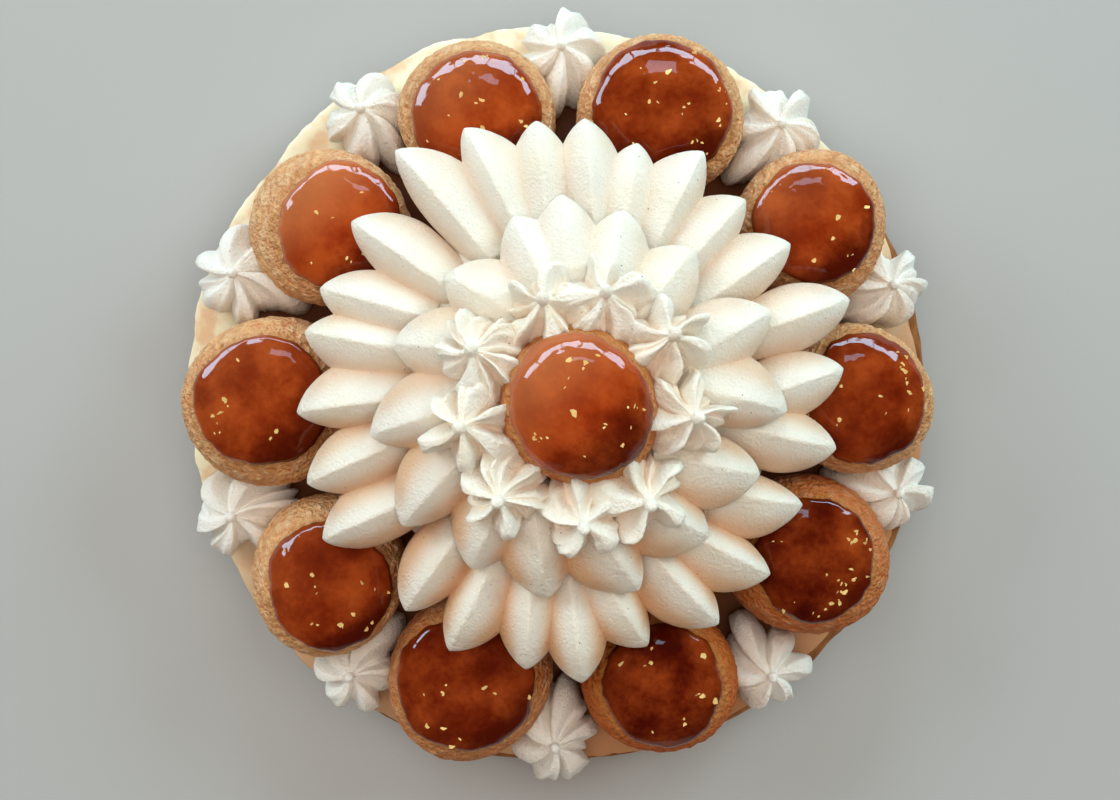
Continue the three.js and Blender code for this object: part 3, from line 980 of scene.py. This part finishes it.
def bed_finish(base_sizes):
    """Spread cream, thin in places, with painted shade inside the ring of choux, to the right and at the
    front.
    """
    finish = Finish(
        "Spread cream", Subsurface_Weight=0.4, Subsurface_Radius=(1.0, 0.5, 0.25), Subsurface_Scale=0.002
    )
    slow = cloudy(finish.place, size=0.011, detail=3, roughness=0.55) + 0.5
    across, along, _ = parts_of(finish.place)
    out = (across ** 2 + along ** 2) ** 0.5 + cloudy(finish.place, size=0.012) * 0.01
    base = tinted(eased(slow, 0.56, 0.36), base_sizes.bed_colour, base_sizes.bed_warm)
    # Painted shade: darker to the right and at the front
    right = eased(across - along + slow * 0.02, *BED_SHADE_RIGHT)
    front = eased(slow * 0.02 - along, *BED_SHADE_FRONT) * 0.8
    base = tinted(most(right, front), base, base_sizes.bed_stained)
    # Painted shade: the pastry's dark colour inside the ring of choux, where they shade the cream
    finish.set("Base Color", tinted(eased(out, *BED_SHADE_RING), base, base_sizes.pastry_dark))
    fine = cloudy(finish.place, size=0.001, detail=3)
    finish.set("Roughness", fine * 0.3 + 0.5)
    finish.bump(fine, distance=0.0002, strength=0.5)
    return finish.material


def leaves_in(place, flatness, size, detail):
    """Noise drawn out sideways like the leaves of a pastry."""
    across, along, up = parts_of(place)
    return cloudy(place_of(across * flatness, along * flatness, up), size, detail)


def pastry_finish(base_sizes):
    """Leaves of pastry with browned edges."""
    finish = Finish("Baked pastry", Specular_IOR_Level=0.3)
    layers = leaves_in(finish.place, flatness=0.12, size=0.0011, detail=3) + 0.5
    slow = cloudy(finish.place, size=0.009, detail=3) + 0.5
    base = tinted(eased(layers + slow * 0.5, 0.5, 1.0), base_sizes.pastry_dark, base_sizes.pastry_colour)
    finish.set("Base Color", base)
    finish.set("Roughness", layers * 0.2 + 0.6)
    finish.bump(layers, distance=0.0005, strength=0.7)
    return finish.material


def floor_finish(stage):
    """Plain floor with a slow drift in its tone."""
    finish = Finish("Plain floor", Roughness=0.7, Specular_IOR_Level=0.2)
    slow = cloudy(finish.place, size=0.3) + 0.5
    darker = [part * 0.97 for part in stage.floor_colour[:3]]
    finish.set("Base Color", tinted(slow, (*darker, 1), stage.floor_colour))
    return finish.material


# Shapes

def disc_tree(piece, group, edge, phases, relief):
    """Flat round skin with a rounded wavy edge, from the sizes that bear the name of the piece."""
    tree = Tree(piece, group)
    size = tree.size
    radius, foot, top = (getattr(size, f"{piece}_{part}") for part in ("radius", "foot", "top"))
    rounding, strength, waves = edge
    turn, run = tree.lay_skins(size.columns, size.rows)
    angle = turn * math.tau
    polar = run * math.pi
    wide = most(sine(polar), 0) ** (2 / rounding) * radius
    wide = wide * wavering(angle, strength, waves, phases)
    side = cosine(polar)
    lift = sign_of(side) * size_of(side) ** (2 / rounding)
    middle = (foot + top) * 0.5
    half = (top - foot) * 0.5
    tree.close_skins(wide * cosine(angle), wide * sine(angle), middle + half * lift)
    tree.swell(relief(tree.here()))
    return tree.end()


def flaky(here):
    """Leaves of the pastry, which stand out by different amounts above its foot."""
    size, height = LEAF_RELIEF
    over_foot = eased(parts_of(here)[2], *LEAF_START)
    return leaves_in(here, flatness=0.1, size=size, detail=2) * height * over_foot


def spread(here):
    """Strokes of the knife in the spread cream."""
    size, height, sunk = SPREAD_RELIEF
    return cloudy(here, size, detail=3, roughness=0.55) * height - sunk


def crumbled(here):
    """Crumbs of the core."""
    size, height, sunk = CRUMB_RELIEF
    return cloudy(here, size, detail=3) * height - sunk


def wavering_of(tree, angle, strength, waves):
    """Wavy share of a radius whose phases each place carries."""
    return wavering(angle, strength, waves.values(), [tree.read(name) for name in waves])


def over_and_under(run):
    """Share of the way out, over the top of a skin and back under it, and whether it is under."""
    way = 1 - size_of(run * 2 - 1)
    return 1 - (1 - way) ** RIM_GATHERING, above(run, 0.5)


def close_leaning(tree, angle, radius, level, girth_level, rise):
    """Closes a skin that leans further over the higher it is above the girth."""
    lean = most(level - girth_level, 0) / rise
    x = radius * cosine(angle) + lean * tree.read("lean_x")
    y = radius * sine(angle) + lean * tree.read("lean_y")
    tree.close_skins(x, y, level)


def choux_tree(choux):
    """Squat ball with a flattened foot, its crust cracked and wrinkled inwards."""
    tree = Tree("Choux", choux)
    size = tree.size
    turn, run = tree.lay_skins(size.columns, size.rows)
    angle = turn * math.tau
    polar = (run + sine(run * math.tau) * size.gathering / math.tau) * math.pi
    girth = wavering_of(tree, angle, size.unevenness, GIRTH_WAVES)
    steep = most(sine(polar), 0) ** (2 / CROWN_ROUNDNESS)
    upright = size_of(cosine(polar))
    radius = steep * girth * tree.read("radius")
    rise = size.height - size.girth_level
    crown = size.girth_level + rise * upright ** (2 / CROWN_ROUNDNESS)
    foot = size.girth_level * (1 - upright ** (2 / FOOT_ROUNDNESS))
    lower = above(polar, math.pi / 2)
    reach = steep * tree.read("radius") / tree.read("caramel_radius")
    tree.keep("glaze", (1 - eased(reach, 1.0, 1.28)) * (1 - lower))
    # Baked colour and painted shade of each choux
    tree.keep("baked", tree.read("crust_tone"))
    level = crown + (foot - crown) * lower
    close_leaning(tree, angle, radius, level, size.girth_level, rise)
    here = tree.here()
    drift = place_of(*(cloudy(here, wave) for wave in CRUST_WARP_SIZES))
    warped = moved(here, stretched(drift, CRUST_WARP))
    furrow = size_of(cloudy(warped, size.furrow_size, detail=3, roughness=0.6))
    furrow = most(1 - furrow * size.furrow_crispness, 0)
    lump = cloudy(warped, size.lump_size, detail=3, roughness=0.65)
    # Marks crack bottoms and the hollows between lumps, which also take painted shade
    tree.keep("crack", least(furrow * 0.4 + eased(lump, 0.05, -0.25) * 0.45, 1))
    tree.swell((lump - 0.15) * size.lump_height - furrow * size.furrow_depth)
    return tree.end()


def choux_place(row, tone, crust_tone, x, y, level, diameter, caramel_diameter, lean_x, lean_y):
    """Place of the choux whose phases are in that row, and of its caramel."""
    return standing(
        x,
        y,
        level,
        radius=diameter / 2 * MM,
        caramel_radius=caramel_diameter / 2 * MM,
        lean_x=lean_x * MM,
        lean_y=lean_y * MM,
        tone=tone,
        crust_tone=crust_tone,
        **CHOUX_PHASES[row],
    )


def ring_places():
    """Places of the choux in the ring."""
    places = []
    for row, (bearing, reach, *form) in enumerate(CHOUX_RING):
        x, y = spoke(bearing, reach)
        places.append(choux_place(row, CARAMEL_TONES[row], CRUST_TONES[row], x, y, BED_LEVEL, *form))
    return places


def centre_place():
    """Place of the choux on top."""
    row = len(CHOUX_RING)
    return choux_place(row, CENTRE_TONE, CENTRE_CRUST_TONE, *FLOWER_MIDDLE, SEAT_LEVEL, *CENTRE_CHOUX)


def caramel_tree(caramel, choux):
    """Shell over the crown of a choux that ends in a rounded lip."""
    tree = Tree("Caramel", caramel)
    size = tree.size
    turn, run = tree.lay_skins(size.columns, size.rows)
    angle = turn * math.tau
    girth = wavering_of(tree, angle, choux.unevenness, GIRTH_WAVES)
    outline = wavering_of(tree, angle, caramel.unevenness, OUTLINE_WAVES)
    out, under = over_and_under(run)
    edge = place_of(cosine(angle) * 2, sine(angle) * 2, tree.apart())
    rim = tree.read("caramel_radius") * (outline + cloudy(edge, size=0.8, detail=3) * size.drift)
    radius = rim * out
    rise = choux.height - choux.girth_level

    def crown_at(distance):
        """Level of the crown under the shell at a distance from its middle."""
        reach = distance / (tree.read("radius") * girth)
        return (1 - reach ** CROWN_ROUNDNESS) ** (1 / CROWN_ROUNDNESS) * rise + choux.girth_level

    rim_level = crown_at(rim) + size.shoulder
    middle_level = size.thickness + choux.height
    rounding = within(out, 1 - size.lip / rim, 1)
    lip = size.shoulder * (1 - (1 - rounding ** 2) ** 0.5)
    top = middle_level - (middle_level - rim_level) * out ** size.dome - lip
    level = top + (crown_at(radius) - top) * under + size.clearance
    tree.keep("thin", eased(out, 0.8, 1.0))
    # Own tone and painted shade of each shell, darker on the choux towards -Y
    tree.keep("darkness", tree.read("tone"))
    # Which side of each shell holds the painted shade
    tree.keep("pooled", out * cosine(angle - size.pooling))
    close_leaning(tree, angle, radius, level, choux.girth_level, rise)
    tree.swell(cloudy(tree.here(), size.ripple_size, detail=3, roughness=0.6) * size.ripple * 2)
    return tree.end()


def petal_tree(ring, petals):
    """Petal with a crisp ridge from its tip to its root, its flanks full and its underside shallow."""
    tree = Tree(f"{ring} petals", petals)
    size = tree.size
    turn, run = tree.lay_skins(size.columns, getattr(size, f"{ring}_rows"))
    long = tree.read("long")
    back = long * run ** TIP_GATHERING
    swell = long * size.swell
    front = least(back / swell, 1)
    rear = most((back - swell) / (long - swell), 0)
    fullness = (1 - (1 - front) ** 2) * (1 - rear ** 1.5 * ROOT_NARROWING)
    open_share = 1 - above(run, CLOSING_SHARE)
    over = petals.top_columns / petals.columns
    flank = least(most(1 - turn * (2 / over), -1), 1)
    under = most((turn - over) / (1 - over), 0)
    crosswise = sign_of(flank) * (1 - (1 - size_of(flank)) ** RIDGE_GATHERING)
    belly = (under + 1) * math.pi
    side = crosswise + cosine(belly) + 1
    wide = getattr(size, f"{ring}_half_width") * fullness ** size.tip_curve
    wide = wide * (tree.read("wider") * sign_of(side) + 1)
    nose = 1 - eased(back, 0.0, size.nose)
    ridge = (1 - size_of(crosswise) ** (nose + 1)) ** size.flank_curve
    depth = size.tip_depth + (size.root_depth - size.tip_depth) * front ** 2
    level = size.height * fullness ** 0.8 * ridge + depth * fullness * sine(belly)
    crest = tree.note("crest", ridge ** 4)
    # Painted shade: the flanks below the ridge are marked for a warm tint, stronger on the petals towards
    # -Y
    fold = eased(ridge, 0.92, 0.45) * eased(back, 0.0, size.nose * 2)
    tree.keep("fold", fold * tree.read("warmth"))
    tree.close_skins(-back, wide * side * open_share, level * open_share)
    here = tree.here()
    lump = cloudy(here, size=0.011, detail=1) * size.lump
    grain = cloudy(here, size=0.0012, detail=3, roughness=0.6) * size.grain
    tree.swell(lump + grain * (crest * 2.5 + 0.5))
    return tree.end()


def outer_length(reach):
    """Length of an outer petal whose tip reaches that far."""
    return max(OUTER_LENGTH, reach - OUTER_ROOT_RADIUS)


def inner_length(reach):
    """Length of an inner petal whose tip reaches that far."""
    return reach - INNER_ROOT_RADIUS


def petal_places(petals, rows, level, length_of):
    """Places of a ring of petals, with more painted warm shade in their folds towards -Y."""
    places = []
    for bearing, reach, swing, wider in rows:
        place = standing(
            *spoke(bearing, reach, FLOWER_MIDDLE),
            level,
            bearing + swing,
            wider=wider,
            long=length_of(reach) * MM,
            # Painted shade, stronger on the petals towards -Y
            warmth=petals.warmth - petals.warmth_swing * math.cos(math.radians(bearing)),
        )
        places.append(place)
    return places


def rosette_tree(name, group):
    """Rosette of pleats that turn as they draw in to a small bead at the peak."""
    tree = Tree(name, group)
    size = tree.size
    turn, run = tree.lay_skins(size.columns, size.rows)
    angle = turn * math.tau
    around = within(run, 0, BEAD_SHARE) * BEAD_TURN
    fall = within(run, BEAD_SHARE, BODY_SHARE)
    close = within(run, BODY_SHARE, 1.0)
    neck = size.bead * math.sin(BEAD_TURN)
    neck_level = size.height - size.bead * (1 - math.cos(BEAD_TURN))
    round_it = place_of(cosine(angle), sine(angle), tree.apart())
    jitter = cloudy(round_it, size=0.5, detail=1) * size.jitter
    pleat = fraction_of(turn * tree.read("pleats") + tree.read("phase") + jitter)
    ridge = 1 - least(pleat / size.valley, (1 - pleat) / (1 - size.valley))
    crest = least(ridge * (size.plateau + 1), 1)
    hollow = 1 - crest ** (size.crispness - eased(fall, 0.4, 1.0) * size.broadening)
    along_it = place_of(cosine(angle), sine(angle), fall * 1.5)
    wave = cloudy(along_it, size=0.7, detail=1) * fall * (1 - fall) * size.sway
    twisted = angle + size.twist * (1 - fall) + wave
    tail = most(cosine(twisted) * -1, 0) ** TAIL_NARROWNESS * fall * size.tail + 1
    belly = sine(fall * BODY_TURN)
    outline = 1 - hollow * size.depth * eased(fall, 0.0, 0.25)
    drift = cloudy(round_it, size=0.6, detail=1) * size.drift + 1
    body = tree.read("radius") * belly * outline * tail * drift
    neck_radius = neck * (1 - fall) ** 2
    started = above(run, BEAD_SHARE)
    radius = size.bead * sine(around) * (1 - started) + (body + neck_radius) * started
    radius = radius * (1 - close)
    valleys = size.sink * hollow * sine(fall ** 0.85 * math.pi)
    body_level = neck_level * (1 - fall ** size.bluntness) - valleys
    level = (size.height - size.bead * (1 - cosine(around))) * (1 - started) + body_level * started
    leaning = size.lean * level / size.height
    # Painted shade deep in the valleys between the fins
    tree.keep("fold", hollow ** 2 * eased(fall, 0.05, 0.3) * size.stain)
    fallen = tree.note("fallen", fall)
    finned = tree.note("finned", crest ** 3)
    tree.close_skins(radius * cosine(twisted) + leaning, radius * sine(twisted), level)
    here = tree.here()
    lump = cloudy(here, size=0.007, detail=1) * size.lump * fallen
    torn = cloudy(here, size=0.0016, detail=3, roughness=0.6) * size.ragged * finned * fallen * 2
    grain = cloudy(here, size=0.001) * size.grain
    tree.swell(lump + torn + grain)
    return tree.end()


def heart_tree(petals):
    """Heart of the flower, domed, with a seat for the choux on top."""
    tree = Tree("Heart", petals)
    size = tree.size
    turn, run = tree.lay_skins(size.heart_columns, size.heart_rows)
    angle = turn * math.tau
    out, under = over_and_under(run)
    fall, rise = HEART_DOME
    dome = (1 - out ** fall) ** rise
    radius = size.heart_radius * out
    # The seat is as far from the heart's middle as that is from the cake's
    off_x = radius * cosine(angle) - HEART_MIDDLE[0] * MM
    off_y = radius * sine(angle) - HEART_MIDDLE[1] * MM
    off = (off_x ** 2 + off_y ** 2) ** 0.5 / MM
    seat = (1 - eased(off, *SEAT_END)) * size.seat_depth
    collar = eased(off, *COLLAR_RISE) * (1 - eased(off, *COLLAR_FALL)) * size.collar
    top = dome * size.heart_height - seat + collar
    level = top * (1 - under) + size.heart_foot
    tree.close_skins(radius * cosine(angle), radius * sine(angle), level)
    tree.swell(cloudy(tree.here(), size=0.006) * size.lump)
    return tree.end()


def flecks_tree(caramel):
    """Gold flecks strewn in clusters over the caramel."""
    tree = Tree("Gold flecks", caramel)
    size = tree.size

    def drawn(low, high):
        """Three numbers that each fleck draws for itself."""
        node = tree.tree.nodes.new("FunctionNodeRandomValue")
        node.data_type = "FLOAT_VECTOR"
        node.inputs[0].default_value = low
        node.inputs[1].default_value = high
        return Term(node.outputs[0])

    _, _, lift = parts_of(tree.outward())
    clusters = eased(cloudy(tree.here(), size=0.006, detail=1), 0.1, 0.17)
    pooled = eased(tree.read("pooled"), -0.3, 0.6) + 0.4
    density = (clusters * size.cluster_density + size.fleck_density) * eased(lift, 0.6, 0.8) * pooled
    strewn = tree.then("GeometryNodeDistributePointsOnFaces", "Points", Seed=FLECK_SEED)
    give(density, strewn.inputs["Density"])
    flake = node_in(tree.tree, "GeometryNodeMeshCylinder", Vertices=6)
    give(size.fleck_radius, flake.inputs["Radius"])
    give(size.fleck_depth, flake.inputs["Depth"])
    longer, wider, thicker = parts_of(drawn((0, 0, 0), (1, 1, 1)))
    across = longer ** 3 * 0.75 + 0.36
    flakes = place_of(across, across * (wider * 0.6 + 0.4), thicker * 0.3 + 0.5)
    spun = drawn((-0.3, -0.3, 0), (0.3, 0.3, math.tau))
    mesh = Term(flake.outputs["Mesh"])
    tree.then("GeometryNodeInstanceOnPoints", "Instances", Instance=mesh, Scale=flakes, Rotation=spun)
    tree.then("GeometryNodeRealizeInstances", "Geometry")
    spot = tree.here()
    aside = moved(spot, OTHER_NOISE)
    torn = place_of(*(cloudy(place, size=0.0011, detail=1) for place in (spot, aside)), 0.0)
    tree.then("GeometryNodeSetPosition", "Geometry", Offset=stretched(torn, size.fleck_tear))
    return tree.end(smooth=False)


# Operators

class CakeOperator:
    """What the cake's operators share."""

    bl_options = {"REGISTER", "UNDO"}


class CAKE_OT_base(CakeOperator, Operator):
    """Builds the pastry disc, the spread cream and the core inside the ring"""

    bl_idname = "cake.base"
    bl_label = "Build Base"

    def execute(self, context):
        sizes = context.scene.cake_base
        middle = [standing(0, 0)]
        baked = pastry_finish(sizes)
        pastry = disc_tree("pastry", sizes, PASTRY_EDGE, PASTRY_PHASES, flaky)
        hand_over(skins("pastry_disc", middle, pastry, baked), "pastry", "pastry_base")
        bed = disc_tree("bed", sizes, BED_EDGE, BED_PHASES, spread)
        aside = [standing(*BED_MIDDLE)]
        hand_over(skins("spread_cream", aside, bed, bed_finish(sizes)), "bed_cream", "cream_bed")
        core = disc_tree("core", sizes, CORE_EDGE, (), crumbled)
        hand_over(skins("pastry_inside", middle, core, baked), "pastry", "pastry_core")
        return {"FINISHED"}


class CAKE_OT_choux(CakeOperator, Operator):
    """Builds the ring of choux and the choux on top"""

    bl_idname = "cake.choux"
    bl_label = "Build Choux"

    def execute(self, context):
        choux = context.scene.cake_choux
        tree = choux_tree(choux)
        finish = choux_finish(choux)
        places = ring_places()
        half = len(places) // 2
        first = skins("choux_crust_first", places[:half], tree, finish)
        hand_over(first, "choux", *numbered("choux", half))
        second = skins("choux_crust_second", places[half:], tree, finish)
        hand_over(second, "choux", *numbered("choux", len(places) - half, half + 1))
        top = skins("choux_crust_top", [centre_place()], tree, finish)
        hand_over(top, "choux", "choux_centre")
        return {"FINISHED"}


class CAKE_OT_caramel(CakeOperator, Operator):
    """Builds the caramel shells and the gold flecks on them"""

    bl_idname = "cake.caramel"
    bl_label = "Build Caramel"

    def execute(self, context):
        caramel = context.scene.cake_caramel
        tree = caramel_tree(caramel, context.scene.cake_choux)
        places = [*ring_places(), centre_place()]
        shells = skins("caramel_shells", places, tree, caramel_finish(caramel))
        hand_over(shells, "caramel", *numbered("caramel", len(CHOUX_RING)), "caramel_centre")
        strewn = bpy.data.objects.new("gold_flecks", shells.data.copy())
        context.scene.collection.objects.link(strewn)
        hand_over(shape_piece(strewn, flecks_tree(caramel), gold_finish(caramel)), "gold")
        return {"FINISHED"}


class CAKE_OT_flower(CakeOperator, Operator):
    """Builds the heart of the flower and both rings of petals"""

    bl_idname = "cake.flower"
    bl_label = "Build Flower"

    def execute(self, context):
        petals = context.scene.cake_petals
        cream = cream_finish("Whipped cream", petals)
        middle = [standing(*HEART_MIDDLE)]
        hand_over(skins("flower_heart", middle, heart_tree(petals), cream), "cream", "cream_flower")
        rings = {
            "outer": petal_places(petals, OUTER_PETALS, OUTER_TIP_LEVEL, outer_length),
            "inner": petal_places(petals, INNER_PETALS, INNER_TIP_LEVEL, inner_length),
        }
        for ring, places in rings.items():
            piped = skins(f"petals_{ring}", places, petal_tree(ring, petals), cream)
            hand_over(piped, "cream", "cream_flower")
        return {"FINISHED"}


class CAKE_OT_rosettes(CakeOperator, Operator):
    """Builds the rosettes in the ring's gaps and the wreath round the choux on top"""

    bl_idname = "cake.rosettes"
    bl_label = "Build Rosettes"

    def execute(self, context):
        rosettes = context.scene.cake_rosettes
        wreath = context.scene.cake_wreath
        piped = cream_finish("Piped cream", rosettes)
        cream = cream_finish("Wreath cream", context.scene.cake_petals)
        places = []
        for bearing, diameter, turn in ROSETTE_RING:
            x, y = spoke(bearing, ROSETTE_RING_RADIUS)
            places.append(rosette_place(rosettes, x, y, BED_LEVEL, bearing, diameter, RING_PLEATS, turn))
        ring = skins("rosettes_ring", places, rosette_tree("Rosettes", rosettes), piped)
        hand_over(ring, "cream", *numbered("rosette_outer", len(places)))
        places = []
        for bearing, reach, pleats, turn in WREATH_ROSETTES:
            x, y = spoke(bearing, reach, FLOWER_MIDDLE)
            place = rosette_place(wreath, x, y, WREATH_FOOT_LEVEL, bearing, WREATH_DIAMETER, pleats, turn)
            places.append(place)
        small = skins("rosettes_wreath", places, rosette_tree("Wreath", wreath), cream)
        hand_over(small, "cream", *numbered("rosette_centre", len(places)))
        return {"FINISHED"}


def rosette_place(group, x, y, level, bearing, diameter, pleats, turn):
    """Place of a rosette, whose fins are turned by whole columns of its skin so that they stay crisp."""
    columns = group.columns
    phase = (round(turn / 360 * columns) - columns / 2) / columns * pleats
    return standing(x, y, level, bearing, radius=diameter / 2 * MM, pleats=float(pleats), phase=phase)


class CAKE_OT_stage(CakeOperator, Operator):
    """Sets the floor, the window light, the fill and the camera"""

    bl_idname = "cake.stage"
    bl_label = "Set Stage"

    def execute(self, context):
        stage = context.scene.cake_stage
        reach = FLOOR_REACH * MM
        level = -FLOOR_DEPTH * MM
        mesh = bpy.data.meshes.new("floor")
        corners = [(x * reach, y * reach, level) for x, y in ((-1, -1), (1, -1), (1, 1), (-1, 1))]
        mesh.from_pydata(corners, [], [(0, 1, 2, 3)])
        mesh.materials.append(floor_finish(stage))
        floor = bpy.data.objects.new("floor", mesh)
        context.scene.collection.objects.link(floor)
        world = bpy.data.worlds.new("Room")
        world.use_nodes = True
        background = world.node_tree.nodes["Background"]
        background.inputs["Color"].default_value = stage.room_colour
        background.inputs["Strength"].default_value = stage.room_light
        context.scene.world = world
        kinds = (
            ("pane", PANES, stage.pane_light, "visible_diffuse"),
            ("glint", GLINTS, stage.glint_light, "visible_diffuse"),
            ("window", WINDOWS, stage.window_light, "visible_glossy"),
            ("overhead", OVERHEADS, stage.fill_light, "visible_glossy"),
        )
        for kind, rows, watts, hidden in kinds:
            for index, row in enumerate(rows):
                light = add_light(f"{kind}_{index + 1}", watts, *row)
                setattr(light, hidden, False)
        camera = bpy.data.objects.new("camera", bpy.data.cameras.new("camera"))
        camera.data.lens = stage.lens
        camera.data.sensor_width = SENSOR_WIDTH
        camera.data.sensor_fit = "HORIZONTAL"
        camera.location = (CAMERA_PLACE[0] * MM, CAMERA_PLACE[1] * MM, stage.camera_height)
        context.scene.collection.objects.link(camera)
        context.scene.camera = camera
        context.scene.view_settings.view_transform = "Standard"
        return {"FINISHED"}


def add_light(name, watts, bearing, elevation, distance, sides, part, tint):
    """Area light that looks at the cake from a bearing, an elevation over the floor and a distance."""
    data = bpy.data.lights.new(name, "AREA")
    data.shape = "RECTANGLE"
    data.size, data.size_y = sides
    data.energy = watts * part
    data.color = tint
    light = bpy.data.objects.new(name, data)
    flat = distance * math.cos(math.radians(elevation))
    light.location = (*spoke(bearing, flat), distance * math.sin(math.radians(elevation)))
    light.rotation_euler = (-Vector(light.location)).to_track_quat("-Z", "Y").to_euler()
    bpy.context.scene.collection.objects.link(light)
    return light


class CAKE_PT_panel(Panel):
    """Sizes, colours and steps of the cake"""

    bl_label = "Saint-Honore Cake"
    bl_idname = "CAKE_PT_panel"
    bl_space_type = "VIEW_3D"
    bl_region_type = "UI"
    bl_category = "Cake"

    def draw(self, context):
        for operator, groups in STEPS.items():
            box = self.layout.box()
            for group in groups:
                settings = getattr(context.scene, group)
                for name in settings.__annotations__:
                    box.prop(settings, name)
            box.operator(operator)


GROUPS = {
    "cake_base": CakeBase,
    "cake_choux": CakeChoux,
    "cake_caramel": CakeCaramel,
    "cake_petals": CakePetals,
    "cake_rosettes": CakeRosettes,
    "cake_wreath": CakeWreath,
    "cake_stage": CakeStage,
}
STEPS = {
    "cake.base": ("cake_base",),
    "cake.choux": ("cake_choux",),
    "cake.caramel": ("cake_caramel",),
    "cake.flower": ("cake_petals",),
    "cake.rosettes": ("cake_rosettes", "cake_wreath"),
    "cake.stage": ("cake_stage",),
}
CLASSES = (
    *GROUPS.values(),
    CAKE_OT_base,
    CAKE_OT_choux,
    CAKE_OT_caramel,
    CAKE_OT_flower,
    CAKE_OT_rosettes,
    CAKE_OT_stage,
    CAKE_PT_panel,
)


def register():
    for kind in CLASSES:
        bpy.utils.register_class(kind)
    for name, group in GROUPS.items():
        setattr(bpy.types.Scene, name, PointerProperty(type=group))


def unregister():
    for name in GROUPS:
        delattr(bpy.types.Scene, name)
    for kind in reversed(CLASSES):
        bpy.utils.unregister_class(kind)


def main():
    register()
    bpy.ops.cake.base()
    bpy.ops.cake.choux()
    bpy.ops.cake.caramel()
    bpy.ops.cake.flower()
    bpy.ops.cake.rosettes()
    bpy.ops.cake.stage()


if __name__ == "__main__":
    main()
